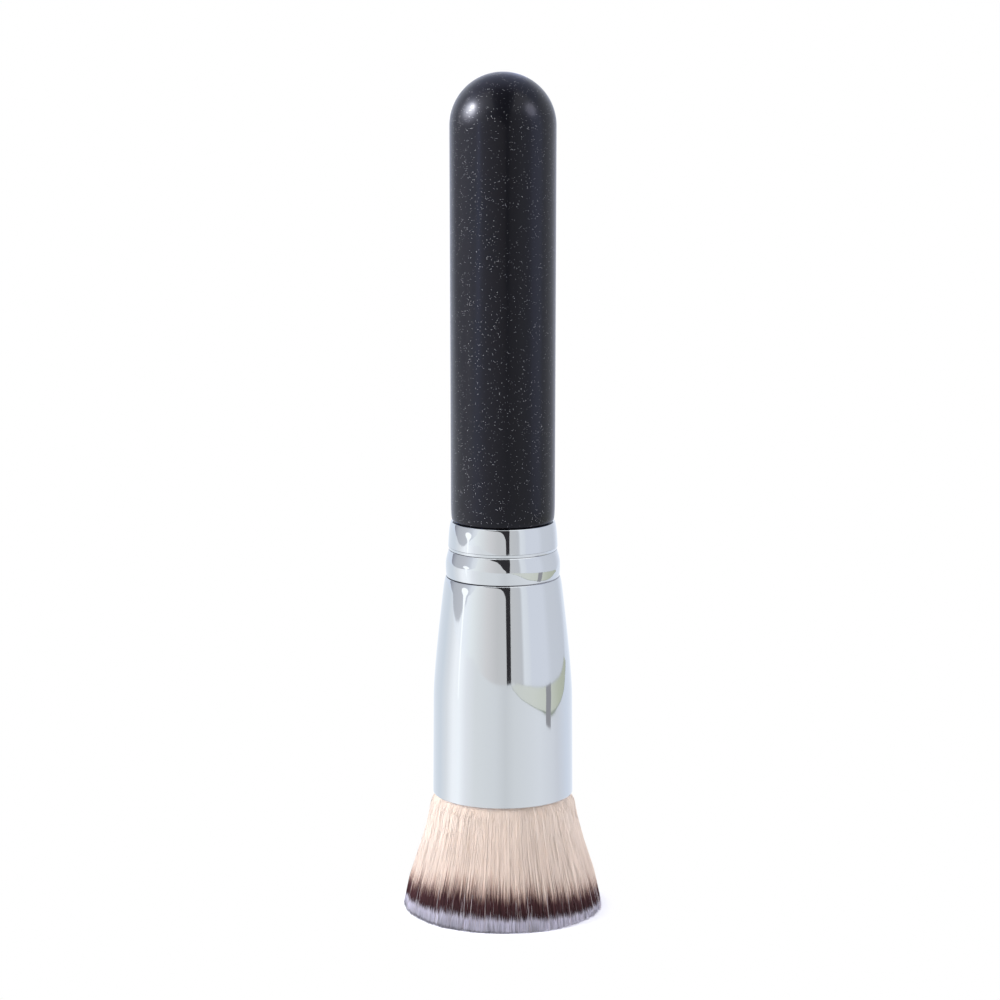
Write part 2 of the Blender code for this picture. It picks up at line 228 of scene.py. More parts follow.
# %% Turn the handle
HANDLE_TAPER = 0.1 * MM
SHOULDER_EASE_HEIGHT = 3.4 * MM
SHOULDER_EASE_DEPTH = 0.2 * MM
SHOULDER_EDGE_ROUND = 0.1 * MM
TENON_RADIUS = 7.91 * MM
TENON_CHAMFER = 0.8 * MM
DOME_STEPS = 40
SHOULDER_STEPS = 10
EDGE_STEPS = 4


def arc(centre, half_width, half_height, start_degrees, end_degrees, steps):
    """Points on an ellipse quarter, for a rounded edge or a dome."""
    points = []
    for step in range(steps + 1):
        angle = math.radians(start_degrees + (end_degrees - start_degrees) * step / steps)
        r = centre[0] + half_width * math.cos(angle)
        points.append((r, centre[1] + half_height * math.sin(angle)))
    return points


handle_foot_radius = HANDLE_RADIUS - HANDLE_TAPER
eased_radius = handle_foot_radius - SHOULDER_EASE_DEPTH
handle_profile = arc(
    (0, HANDLE_TOP_Z - HANDLE_RADIUS), HANDLE_RADIUS, HANDLE_RADIUS, 90, 0, DOME_STEPS)
handle_profile += arc(
    (eased_radius, SHOULDER_Z + SHOULDER_EASE_HEIGHT), SHOULDER_EASE_DEPTH,
    SHOULDER_EASE_HEIGHT - SHOULDER_EDGE_ROUND, 0, -90, SHOULDER_STEPS)
handle_profile += arc(
    (eased_radius - SHOULDER_EDGE_ROUND, SHOULDER_Z + SHOULDER_EDGE_ROUND),
    SHOULDER_EDGE_ROUND, SHOULDER_EDGE_ROUND, 0, -90, EDGE_STEPS)[1:]
handle_profile += [
    (TENON_RADIUS, SHOULDER_Z),
    (TENON_RADIUS, TENON_FOOT_Z + TENON_CHAMFER),
    (TENON_RADIUS - TENON_CHAMFER, TENON_FOOT_Z),
    (0, TENON_FOOT_Z),
]
handle = turn_profile("lacquered_handle", handle_profile)

# %% [markdown]
# The finish is a black satin lacquer with fine silver glitter in it. Real flakes are about
# 0.05 mm across, and these are drawn up to 0.08 mm, so that they show. A Voronoi texture
# scatters one point in each small cell, and a point becomes a flake where its cell's random
# colour is high enough. A slow noise shifts that chance, because glitter never settles quite
# evenly.

# %% Glitter
FLAKE_CELL = 0.2 * MM
FLAKE_RADIUS = 0.042 * MM
FLAKE_CORE_SHARE = 0.6
FLAKE_CLOUD = 2.5 * MM
FLAKE_CLOUD_SHARE = 0.25
FAINT_FLAKES_FROM = 0.91
BRIGHT_FLAKES_FROM = 1.17

lacquer, tree, shader = new_material("black_satin_lacquer_with_glitter")
place = add_node(tree, "ShaderNodeTexCoord").outputs["Object"]
cells = add_node(tree, "ShaderNodeTexVoronoi", {"Vector": place, "Scale": 1 / FLAKE_CELL})
chance = add_node(tree, "ShaderNodeSeparateColor", {0: cells.outputs["Color"]})
dot = add_node(tree, "ShaderNodeMapRange",
               {"Value": cells.outputs["Distance"], "From Min": FLAKE_RADIUS / FLAKE_CELL,
                "From Max": FLAKE_CORE_SHARE * FLAKE_RADIUS / FLAKE_CELL})
clouds = add_node(tree, "ShaderNodeTexNoise",
                  {"Vector": place, "Scale": 1 / FLAKE_CLOUD, "Detail": 0.0})
rarity = add_node(tree, "ShaderNodeMath", {0: clouds, 1: FLAKE_CLOUD_SHARE, 2: chance},
                  operation="MULTIPLY_ADD")
chosen = add_node(tree, "ShaderNodeMapRange",
                  {"Value": rarity, "From Min": FAINT_FLAKES_FROM,
                   "From Max": BRIGHT_FLAKES_FROM})
flake = add_node(tree, "ShaderNodeMath", {0: dot, 1: chosen}, operation="MULTIPLY")
print("flakes of", FLAKE_RADIUS * 2 / MM, "mm in cells of", FLAKE_CELL / MM, "mm")

# %% [markdown]
# Sprayed lacquer is a clear, tinted film, so it is a dielectric. Its index of refraction
# starts at 1.5, a typical value for lacquer, and comes down to match the deep black of this
# film. Satin means a roughness of about a third: lamps at the sides turn into soft grey
# flanks. A thin coat that is smoother lies on top and gives the small bright core of the
# highlight on the dome. A trace of bluish sheen is the haze that such a film shows at its
# outline. Lacquer also dries with a very fine waviness, which is called orange peel.

# %% Black satin lacquer
ORANGE_PEEL = 0.4 * MM
ORANGE_PEEL_DEPTH = 0.02 * MM

colour = add_node(tree, "ShaderNodeMix",
                  {"Factor": flake, "A": linear("#050507"), "B": linear("#F4F4FA")},
                  data_type="RGBA")
peel = add_node(tree, "ShaderNodeTexNoise",
                {"Vector": place, "Scale": 1 / ORANGE_PEEL, "Detail": 1.0})
rough = add_node(tree, "ShaderNodeMapRange", {"Value": peel, "To Min": 0.32, "To Max": 0.38})
bump = add_node(tree, "ShaderNodeBump",
                {"Height": peel, "Strength": 0.05, "Distance": ORANGE_PEEL_DEPTH})
fill_sockets(tree, shader, {
    "Base Color": colour.outputs["Result"],
    "Roughness": rough,
    "Normal": bump,
    "IOR": 1.24,
    "Specular Tint": linear("#D6DCFF"),
    "Coat Weight": 0.5,
    "Coat Roughness": 0.2,
    "Coat IOR": 1.33,
    "Sheen Weight": 0.1,
    "Sheen Roughness": 0.3,
    "Sheen Tint": linear("#8FA0FF"),
})
handle.data.materials.append(lacquer)
print("finish of the handle:", lacquer.name)

# %% [markdown]
# ## The ferrule
#
# The ferrule is a brass tube, spun to shape and chrome plated. From the handle down it has a
# neck that tapers to its rim, a narrow undercut, a bead, and a skirt that swells into a
# straight cylinder. Chrome mirrors the room, so a wall's lean matters more than its size:
# one degree of lean moves a reflection by two. Polishing has also softened the upper edges
# of neck and skirt over about two millimetres, so both walls come from one function that
# draws them in towards such an edge.

# %% A polished wall
EDGE_ROUND = 0.12 * MM
EASE_HEIGHT = 2.0 * MM
EASE_DEPTH = 0.2 * MM
EASE_END_DEGREES = 75
EDGE_START_DEGREES = 20
EASE_STEPS = 14


def polished_wall(radius_at, top_z, foot_z, steps):
    """Points of a wall from its softened upper edge down to its foot."""
    eased = []
    for step in range(EASE_STEPS + 1):
        angle = math.radians(EASE_END_DEGREES * (1 - step / EASE_STEPS))
        z = top_z - EASE_HEIGHT * (1 - math.sin(angle))
        eased.append((radius_at(z) - EASE_DEPTH * (1 - math.cos(angle)), z))
    edge_start = math.radians(EDGE_START_DEGREES)
    edge_height = (top_z - eased[0][1]) / (1 - math.sin(edge_start))
    centre = (eased[0][0] - EDGE_ROUND * math.cos(edge_start),
              eased[0][1] - edge_height * math.sin(edge_start))
    edge = arc(centre, EDGE_ROUND, edge_height, 90, EDGE_START_DEGREES, EDGE_STEPS)[:-1]
    below = []
    for step in range(1, steps + 1):
        z = top_z - EASE_HEIGHT + (foot_z - top_z + EASE_HEIGHT) * step / steps
        below.append((radius_at(z), z))
    return edge + eased + below


print("softened edges:", EASE_HEIGHT / MM, "mm high and", EASE_DEPTH / MM, "mm deep")

# %% [markdown]
# The neck is the first such wall. It starts from a foot that stands out a little past the
# handle and tapers to the rim in a slight curve.

# %% Draw the neck
NECK_FOOT_Z = RIM_Z - 4.45 * MM
NECK_FOOT_RADIUS = handle_foot_radius + 0.5 * MM
NECK_TAPER = 0.17 * MM
NECK_CURVE = 0.18 * MM
NECK_STEPS = 12


def neck_radius(z):
    """The neck's own taper, with a slight curve towards the rim."""
    share = (z - NECK_FOOT_Z) / (RIM_Z - NECK_FOOT_Z)
    return NECK_FOOT_RADIUS - NECK_TAPER * share - NECK_CURVE * share ** 2


neck = polished_wall(neck_radius, RIM_Z, NECK_FOOT_Z, NECK_STEPS)
print("neck:", round(neck[-1][0] / MM, 2), "mm at its foot")

# %% [markdown]
# Under the neck the tube is pulled in to a narrow undercut with a sharp lower edge. The bead
# comes next. It is drawn by its lean at each height, as a polisher would judge it: the table
# below gives a drop under the bead's upper edge and the degrees by which the wall leans
# inwards there. Its lower part leans the other way.

# %% Draw the undercut and the bead
UNDERCUT_LIP = 0.03 * MM
UNDERCUT_DEPTH = 0.14 * MM
BEAD_TOP_Z = NECK_FOOT_Z - 0.7 * MM
BEAD_HEIGHT = 4.65 * MM
BEAD_FOOT_Z = BEAD_TOP_Z - BEAD_HEIGHT
BEAD_RADIUS = NECK_FOOT_RADIUS + 0.5 * MM
BEAD_SHOULDER_DEPTH = 0.6 * MM
BEAD_EDGE = 0.05 * MM
DULL_HEIGHT = 0.11 * MM
BEAD_LEANS = (
    (0.0, 19.5), (1.0 * MM, 14.5), (1.7 * MM, 11.0), (2.3 * MM, 3.2),
    (2.9 * MM, 0.0), (3.8 * MM, -3.5), (BEAD_HEIGHT, -9.0),
)
BEAD_STEPS = 48

bead = [(BEAD_RADIUS - BEAD_SHOULDER_DEPTH, BEAD_TOP_Z)]
drops, leans = zip(*BEAD_LEANS)
step_height = BEAD_HEIGHT / BEAD_STEPS
for step in range(BEAD_STEPS):
    lean = math.radians(numpy.interp(step_height * (step + 0.5), drops, leans))
    r, z = bead[-1]
    bead.append((r + step_height * math.tan(lean), z - step_height))
undercut = [
    (neck[-1][0] - UNDERCUT_LIP, NECK_FOOT_Z - DULL_HEIGHT / 2),
    (neck[-1][0] - UNDERCUT_DEPTH, BEAD_TOP_Z + BEAD_EDGE + DULL_HEIGHT),
    (neck[-1][0] - UNDERCUT_DEPTH, BEAD_TOP_Z + BEAD_EDGE),
    (bead[0][0] - BEAD_EDGE, BEAD_TOP_Z + BEAD_EDGE),
]
outer = neck + undercut + bead
print("bead:", round(max(bead)[0] / MM, 2), "mm at its widest")

# %% [markdown]
# A fine crease parts the bead from the skirt's upper edge. From there the skirt runs down in
# one soft curve. A cone and a cylinder that simply meet would show a kink in the mirror, so
# the radius is averaged over a short height, as a burnishing roller would do.

# %% Draw the crease, the skirt and the mouth
CREASE_DEPTH = 0.06 * MM
CREASE_HEIGHT = 0.2 * MM
CREASE_STEPS = 4
SKIRT_TOP_Z = BEAD_FOOT_Z - CREASE_HEIGHT
SKIRT_TOP_RADIUS = BEAD_RADIUS + 0.1 * MM
CYLINDER_TOP_Z = MOUTH_Z + 18.5 * MM
CYLINDER_FLARE = 0.13 * MM
SKIRT_CURVE_EXPONENT = 1.28
BURNISH_REACH = 1.2 * MM
BURNISH_SAMPLES = 9
SKIRT_STEPS = 110
MOUTH_ROUND = 0.3 * MM
MOUTH_STEPS = 6


def cove(top, bottom, depth, steps):
    """The points between top and bottom of a shallow hollow."""
    points = []
    for step in range(1, steps):
        share = step / steps
        r = top[0] + (bottom[0] - top[0]) * share - depth * math.sin(math.pi * share)
        points.append((r, top[1] + (bottom[1] - top[1]) * share))
    return points


def skirt_radius(z):
    """A soft cone above a cylinder that widens very slightly towards the mouth."""
    down = min(1, (CYLINDER_TOP_Z - z) / (CYLINDER_TOP_Z - MOUTH_Z))
    if down >= 0:
        return MOUTH_RADIUS - CYLINDER_FLARE * (1 - down)
    share = (z - CYLINDER_TOP_Z) / (SKIRT_TOP_Z - CYLINDER_TOP_Z)
    narrowing = MOUTH_RADIUS - CYLINDER_FLARE - SKIRT_TOP_RADIUS
    return MOUTH_RADIUS - CYLINDER_FLARE - narrowing * share ** SKIRT_CURVE_EXPONENT


def burnished_radius(z):
    """The skirt's radius, averaged over a short height round z."""
    shifts = numpy.linspace(-BURNISH_REACH, BURNISH_REACH, BURNISH_SAMPLES)
    return float(numpy.mean([skirt_radius(z + shift) for shift in shifts]))


skirt = polished_wall(burnished_radius, SKIRT_TOP_Z, MOUTH_Z + MOUTH_ROUND, SKIRT_STEPS)
outer += cove(outer[-1], skirt[0], CREASE_DEPTH, CREASE_STEPS) + skirt
outer += arc((skirt[-1][0] - MOUTH_ROUND, MOUTH_Z + MOUTH_ROUND),
             MOUTH_ROUND, MOUTH_ROUND, 0, -90, MOUTH_STEPS)[1:]
print("points on the outer side of the ferrule:", len(outer))
print("mouth radius:", round(max(outer)[0] / MM, 3), "mm")

# %% [markdown]
# The inner side runs back up, one wall thickness inside the outer one. It only shows as a
# thin edge round the filaments, so a few points are enough.

# %% Turn the ferrule
RIM_CURL_HEIGHT = 1.2 * MM
BEAD_BORE_RELIEF = 0.1 * MM
INNER_STEPS = 12

inner = [(MOUTH_RADIUS - FERRULE_WALL, MOUTH_Z)]
for step in range(INNER_STEPS + 1):
    z = CYLINDER_TOP_Z + (SKIRT_TOP_Z - CYLINDER_TOP_Z) * step / INNER_STEPS
    inner.append((skirt_radius(z) - FERRULE_WALL, z))
neck_bore = neck[len(neck) // 2][0] - FERRULE_WALL
bead_bore = neck_bore + BEAD_BORE_RELIEF
inner += [
    (bead_bore, BEAD_FOOT_Z),
    (bead_bore, BEAD_TOP_Z - BEAD_HEIGHT / 2),
    (neck_bore, BEAD_TOP_Z),
    (neck_bore, RIM_Z - RIM_CURL_HEIGHT),
    (TENON_RADIUS + SEAT_GAP, RIM_Z),
]
ferrule = turn_profile("chrome_ferrule", outer + inner, closed=True)

# %% [markdown]
# Chrome plate is a metal, so its colour is the colour of its mirror: a pale, slightly blue
# grey that throws back about two thirds of the light. Polished plating has a roughness near
# zero. A little variation round the tube, as a buffing wheel leaves it, keeps it from looking
# like a computer's perfect mirror.

# %% Polished chrome plate
BUFFING_STREAK = 3.0 * MM
BUFFING_STRETCH = 0.15

chrome, tree, shader = new_material("polished_chrome_plate")
place = add_node(tree, "ShaderNodeTexCoord").outputs["Object"]
stretched = add_node(tree, "ShaderNodeMapping",
                     {"Vector": place, "Scale": (1.0, 1.0, BUFFING_STRETCH)})
streaks = add_node(tree, "ShaderNodeTexNoise",
                   {"Vector": stretched, "Scale": 1 / BUFFING_STREAK, "Detail": 4.0})
rough = add_node(tree, "ShaderNodeMapRange",
                 {"Value": streaks, "To Min": 0.02, "To Max": 0.07})
fill_sockets(tree, shader, {
    "Base Color": linear("#D1D6DB"), "Roughness": rough, "Metallic": 1.0,
})
ferrule.data.materials.append(chrome)
print("streaks of", BUFFING_STREAK / MM, "mm, stretched along the tube")

# %% [markdown]
# Some tones change round the brush: the painted shade in the ferrule's creases, and later the
# studio's tones. Such a change is a colour ramp that is laid round the Z axis by the angle of
# each place: 0 degrees is the front, and positive runs to the right as one looks at the front.

# %% Tones by their direction
def fill_ramp(ramp, zones):
    """Give a colour ramp its (position, hex colour) zones, from low to high."""
    stops = ramp.color_ramp.elements
    while len(stops) < len(zones):
        stops.new(1.0)
    for stop, (position, colour) in zip(stops, zones):
        stop.position = position
        stop.color = linear(colour)


def tones_by_direction(tree, tones):
    """A colour ramp that is laid round the Z axis; tones are (degrees, hex colour) pairs."""
    place = add_node(tree, "ShaderNodeTexCoord").outputs["Object"]
    parts = add_node(tree, "ShaderNodeSeparateXYZ", {0: place})
    forwards = add_node(tree, "ShaderNodeMath", {0: parts.outputs["Y"], 1: -1.0},
                        operation="MULTIPLY")
    angle = add_node(tree, "ShaderNodeMath", {0: parts.outputs["X"], 1: forwards},
                     operation="ARCTAN2")
    turn_share = add_node(tree, "ShaderNodeMapRange",
                          {"Value": angle, "From Min": -math.pi, "From Max": math.pi})
    ramp = add_node(tree, "ShaderNodeValToRGB", {"Fac": turn_share})
    fill_ramp(ramp, [((degrees + 180) / 360, colour) for degrees, colour in tones])
    return ramp


# %% [markdown]
# The plating in the creases is rougher, and its colour is painted dark: painted shade, and
# painted reflection of the darker parts of the room. These thin lines part the neck, the bead and
# the skirt for the eye. The right side is painted a little brighter, as the reflections are
# brighter there.

# %% Painted shade in the creases
CREASE_GRAIN = 0.2 * MM
# Painted shade and painted reflection in the plating's colour: darkest at the front left, lighter
# to the right.
PAINTED_CREASE_SHADE_TONES = (
    (-180, "#8E8F96"), (-60, "#48484D"), (-8, "#333236"), (25, "#85868C"), (60, "#A5A6AC"),
    (180, "#8E8F96"),
)

crease_plating_painted_dark, tree, shader = new_material("crease_plating_with_painted_shade")
place = add_node(tree, "ShaderNodeTexCoord").outputs["Object"]
grain = add_node(tree, "ShaderNodeTexNoise", {"Vector": place, "Scale": 1 / CREASE_GRAIN})
rough = add_node(tree, "ShaderNodeMapRange", {"Value": grain, "To Min": 0.35, "To Max": 0.55})
fill_sockets(tree, shader, {
    "Base Color": tones_by_direction(tree, PAINTED_CREASE_SHADE_TONES), "Roughness": rough, "Metallic": 1.0,
})
ferrule.data.materials.append(crease_plating_painted_dark)

CREASES = (
    (NECK_FOOT_Z - DULL_HEIGHT / 2, NECK_FOOT_Z),
    (BEAD_TOP_Z + BEAD_EDGE, BEAD_TOP_Z + BEAD_EDGE + DULL_HEIGHT),
    (SKIRT_TOP_Z, BEAD_FOOT_Z),
)
# The faces in these bands get the painted shade.
painted_shade_faces = 0
for face in ferrule.data.polygons:
    in_crease = any(low < face.center.z < high for low, high in CREASES)
    if in_crease and math.hypot(face.center.x, face.center.y) > bead_bore:
        face.material_index = 1
        painted_shade_faces += 1
print("faces in the creases:", painted_shade_faces)

# %% [markdown]
# ## The filaments
#
# The head is a bundle of some tens of thousands of nylon filaments, each less than a tenth
# of a millimetre thick. Nobody models those one by one: a geometry node tree plants them on
# an even spiral, lets them run straight down through the ferrule, and spreads them below its
# mouth. The outer ones are what shows, so they are thin and many. The inner ones can be
# thicker and fewer, and all are drawn a little coarser than real ones, so that they show.
#
# Three things make such a bundle look real. Filaments gather in tufts towards their tips,
# they lean a little each in its own way, and each has its own tone. The tufts come from a
# Voronoi texture: each filament is pulled towards the centre of the cell that it grows in.
#
# The sizes below say how far this goes. Swell is how far the filaments spring out under the
# mouth, and Lean and Stray are how far the tips of wisps and of single filaments move. Tuft
# Pull is a share: 0 leaves a filament where it grows, and 1 would draw every tip into the
# middle of its tuft.

# %% Sizes of the head
THROAT_RADIUS = MOUTH_RADIUS - FERRULE_WALL - 0.1 * MM
SHARED_SIZES = {
    "Throat Radius": THROAT_RADIUS,
    "Face Radius": FACE_RADIUS,
    "Mouth Z": MOUTH_Z,
    "Root Z": MOUTH_Z + 8.4 * MM,
    "Swell": 1.0 * MM,
    "Tuft Width": 0.8 * MM,
    "Tuft Pull": 0.05,
    "Wisp Width": 4.0 * MM,
    "Lean": 0.9 * MM,
    "Stray": 0.55 * MM,
    "Tip Lift": 0.3 * MM,
}
print("the bundle leaves the ferrule", round(2 * THROAT_RADIUS / MM, 1), "mm thick")

# %% [markdown]
# The tree's inputs are named sizes, so that one tree makes the outer filaments, which need
# many bends, and the inner ones, which hardly show and get by with few. The sizes above are
# shared by all filaments, and the other inputs change from ring to ring.

# %% Inputs of the tree
KINDS_OF_INPUTS = {
    "NodeSocketInt": ("Count", "Points", "Seed"),
    "NodeSocketFloat": ("Inner Share", "Outer Share", "Diameter", *SHARED_SIZES),
    "NodeSocketMaterial": ("Material",),
}

bundle = bpy.data.node_groups.new("filament_bundle", "GeometryNodeTree")
socket_of = {}
for kind, names in KINDS_OF_INPUTS.items():
    for name in names:
        made = bundle.interface.new_socket(name, in_out="INPUT", socket_type=kind)
        socket_of[name] = made.identifier
bundle.interface.new_socket("Geometry", in_out="OUTPUT", socket_type="NodeSocketGeometry")
given = add_node(bundle, "NodeGroupInput").outputs
print("inputs of the filament tree:", len(socket_of))

# %% [markdown]
# The filaments are planted in a circle of radius 1, in the ring between two shares of it. The
# pattern is a sunflower's: each seed turns by the golden angle, and its distance grows with
# the square root of its number, so every filament gets the same room. A little random shift
# hides the spiral's arms.

# %% Plant the filaments
GOLDEN_ANGLE = math.pi * (3 - math.sqrt(5))

index = add_node(bundle, "GeometryNodeInputIndex")
middle = add_node(bundle, "ShaderNodeMath", {0: index, 1: 0.5}, operation="ADD")
count_share = add_node(bundle, "ShaderNodeMath", {0: middle, 1: given["Count"]},
                       operation="DIVIDE")
inner_area = add_node(bundle, "ShaderNodeMath", {0: given["Inner Share"], 1: 2.0},
                      operation="POWER")
outer_area = add_node(bundle, "ShaderNodeMath", {0: given["Outer Share"], 1: 2.0},
                      operation="POWER")
area = add_node(bundle, "ShaderNodeMapRange",
                {"Value": count_share, "To Min": inner_area, "To Max": outer_area})
distance = add_node(bundle, "ShaderNodeMath", {0: area}, operation="SQRT")
turn = add_node(bundle, "ShaderNodeMath", {0: index, 1: GOLDEN_ANGLE, 2: given["Seed"]},
                operation="MULTIPLY_ADD")
outward = add_node(bundle, "ShaderNodeCombineXYZ", {"X": distance})
on_spiral = add_node(bundle, "ShaderNodeVectorRotate", {"Vector": outward, "Angle": turn},
                     rotation_type="Z_AXIS")
ring_area = add_node(bundle, "ShaderNodeMath", {0: outer_area, 1: inner_area},
                     operation="SUBTRACT")
own_area = add_node(bundle, "ShaderNodeMath", {0: ring_area, 1: given["Count"]},
                    operation="DIVIDE")
spacing = add_node(bundle, "ShaderNodeMath", {0: own_area}, operation="SQRT")
shift = add_node(bundle, "FunctionNodeRandomValue",
                 {0: (-1, -1, 0), 1: (1, 1, 0), "Seed": given["Seed"]},
                 data_type="FLOAT_VECTOR")
planted_place = add_node(bundle, "ShaderNodeVectorMath", {0: shift, 1: spacing, 2: on_spiral},
                         operation="MULTIPLY_ADD")
roots = add_node(bundle, "GeometryNodePoints",
                 {"Count": given["Count"], "Position": planted_place})
straight = add_node(bundle, "GeometryNodeCurvePrimitiveLine", {"End": (0, 0, 1)})
divided = add_node(bundle, "GeometryNodeResampleCurve",
                   {"Curve": straight, "Count": given["Points"]})
planted = add_node(bundle, "GeometryNodeInstanceOnPoints", {"Points": roots, "Instance": divided})
strands = add_node(bundle, "GeometryNodeRealizeInstances", {"Geometry": planted})
print("nodes in the tree so far:", len(bundle.nodes))

# %% [markdown]
# Each point of a strand now finds its height. The first point is the root, deep in the
# ferrule. The second is at the mouth, and the others are spread down to the tip, closer
# together near the mouth, where a filament bends most. Each strand spreads them a little
# differently, so that the bends of neighbours don't line up in a visible ring. `outside` runs
# from 0 at the mouth to 1 at the tip, and all that happens to a filament outside the ferrule
# grows with it. The tips end at slightly different heights.

# %% Heights along a strand
LEAST_CROWDING = 1.3
MOST_CROWDING = 1.75

in_strand = add_node(bundle, "GeometryNodeCurveOfPoint")
strand_number = in_strand.outputs["Curve Index"]
point_number = in_strand.outputs["Index in Curve"]
last_point = add_node(bundle, "ShaderNodeMath", {0: given["Points"], 1: 1.0},
                      operation="SUBTRACT")
way_seed = add_node(bundle, "ShaderNodeMath", {0: given["Seed"], 1: 1.0}, operation="ADD")
own_way = add_node(bundle, "FunctionNodeRandomValue",
                   {0: (-1, -1, 0), 1: (1, 1, 1), "ID": strand_number, "Seed": way_seed},
                   data_type="FLOAT_VECTOR")
way_parts = add_node(bundle, "ShaderNodeSeparateXYZ", {0: own_way})
crowding = add_node(bundle, "ShaderNodeMapRange",
                    {"Value": way_parts.outputs["X"], "From Min": -1.0,
                     "To Min": LEAST_CROWDING, "To Max": MOST_CROWDING})
even_outside = add_node(bundle, "ShaderNodeMapRange",
                        {"Value": point_number, "From Min": 1.0, "From Max": last_point})
outside = add_node(bundle, "ShaderNodeMath", {0: even_outside, 1: crowding},
                   operation="POWER")
outside_squared = add_node(bundle, "ShaderNodeMath", {0: outside, 1: outside},
                           operation="MULTIPLY")
tip_z = add_node(bundle, "ShaderNodeMath", {0: way_parts.outputs["Z"], 1: given["Tip Lift"]},
                 operation="MULTIPLY")
hanging_z = add_node(bundle, "ShaderNodeMapRange",
                     {"Value": outside, "To Min": given["Mouth Z"], "To Max": tip_z})
is_root = add_node(bundle, "ShaderNodeMath", {0: point_number, 1: 0.5}, operation="LESS_THAN")
height = add_node(bundle, "GeometryNodeSwitch",
                  {"Switch": is_root, "False": hanging_z, "True": given["Root Z"]},
                  input_type="FLOAT")
print("nodes in the tree so far:", len(bundle.nodes))

# %% [markdown]
# The bundle's outline flares like a skirt with a slight belly at two thirds of its length: a
# power curve plus a low sine wave. Just below the mouth the filaments also spring out by about
# a millimetre, because the ferrule squeezes them.

# %% The bundle's outline
SPRING_SHARE = 0.09
BELLY = 0.15
FLARE_EXPONENT = 1.4

sprung_radius = add_node(bundle, "ShaderNodeMath",
                         {0: given["Throat Radius"], 1: given["Swell"]}, operation="ADD")
sprung = add_node(bundle, "ShaderNodeMapRange",
                  {"Value": outside, "From Max": SPRING_SHARE,
                   "To Min": given["Throat Radius"], "To Max": sprung_radius},
                  interpolation_type="SMOOTHSTEP")
half_turn = add_node(bundle, "ShaderNodeMath", {0: outside_squared, 1: math.pi},
                     operation="MULTIPLY")
wave = add_node(bundle, "ShaderNodeMath", {0: half_turn}, operation="SINE")
skirt_curve = add_node(bundle, "ShaderNodeMath", {0: outside, 1: FLARE_EXPONENT},
                       operation="POWER")
flare = add_node(bundle, "ShaderNodeMath", {0: wave, 1: BELLY, 2: skirt_curve},
                 operation="MULTIPLY_ADD")
flare_room = add_node(bundle, "ShaderNodeMath", {0: given["Face Radius"], 1: sprung_radius},
                      operation="SUBTRACT")
outline = add_node(bundle, "ShaderNodeMath", {0: flare, 1: flare_room, 2: sprung},
                   operation="MULTIPLY_ADD")
print("nodes in the tree so far:", len(bundle.nodes))

# %% [markdown]
# Each strand is pulled towards the centre of its tuft, more and more towards the tip. Whole
# wisps of tufts lean with a slow noise, and each strand strays a little by itself.

# %% Tufts, wisps and strays
position = add_node(bundle, "GeometryNodeInputPosition")
unit_place = add_node(bundle, "ShaderNodeVectorMath", {0: position, 1: (1, 1, 0)},
                      operation="MULTIPLY")
tuft_scale = add_node(bundle, "ShaderNodeMath", {0: given["Face Radius"], 1: given["Tuft Width"]},
                      operation="DIVIDE")
tufts = add_node(bundle, "ShaderNodeTexVoronoi", {"Vector": unit_place, "Scale": tuft_scale},
                 voronoi_dimensions="2D")
pull = add_node(bundle, "ShaderNodeMath", {0: given["Tuft Pull"], 1: outside_squared},
                operation="MULTIPLY")
gathered = add_node(bundle, "ShaderNodeMix",
                    {"Factor": pull, "A": unit_place, "B": tufts.outputs["Position"]},
                    data_type="VECTOR")
wisp_scale = add_node(bundle, "ShaderNodeMath", {0: given["Face Radius"], 1: given["Wisp Width"]},
                      operation="DIVIDE")
drift = add_node(bundle, "ShaderNodeTexNoise",
                 {"Vector": unit_place, "Scale": wisp_scale, "Detail": 2.0})
centred_drift = add_node(bundle, "ShaderNodeVectorMath",
                         {0: drift.outputs["Color"], 1: (0.5, 0.5, 0.5)}, operation="SUBTRACT")
lean_here = add_node(bundle, "ShaderNodeMath", {0: given["Lean"], 1: outside_squared},
                     operation="MULTIPLY")
leaning = add_node(bundle, "ShaderNodeVectorMath", {0: centred_drift, 1: lean_here},
                   operation="MULTIPLY")
stray_here = add_node(bundle, "ShaderNodeMath", {0: given["Stray"], 1: outside_squared},
                      operation="MULTIPLY")
straying = add_node(bundle, "ShaderNodeVectorMath", {0: own_way, 1: stray_here, 2: leaning},
                    operation="MULTIPLY_ADD")
moved = add_node(bundle, "ShaderNodeVectorMath",
                 {0: gathered.outputs["Result"], 1: outline, 2: straying},
                 operation="MULTIPLY_ADD")
flat_place = add_node(bundle, "ShaderNodeSeparateXYZ", {0: moved})
final_place = add_node(bundle, "ShaderNodeCombineXYZ",
                       {"X": flat_place.outputs["X"], "Y": flat_place.outputs["Y"], "Z": height})
print("nodes in the tree so far:", len(bundle.nodes))

# %% [markdown]
# The strand's own tone and its tuft's tone are stored as attributes, for the material to
# read. Then the strand is moved to its final place, and a three-sided tube is drawn along
# it. It gets thinner towards its end, as the tapered tips of a cosmetic filament do. Three
# sides are enough for a hair that is thinner than a pixel.

# %% Give the strands their bodies
TAPER_START = 0.7
TIP_THICKNESS = 0.6

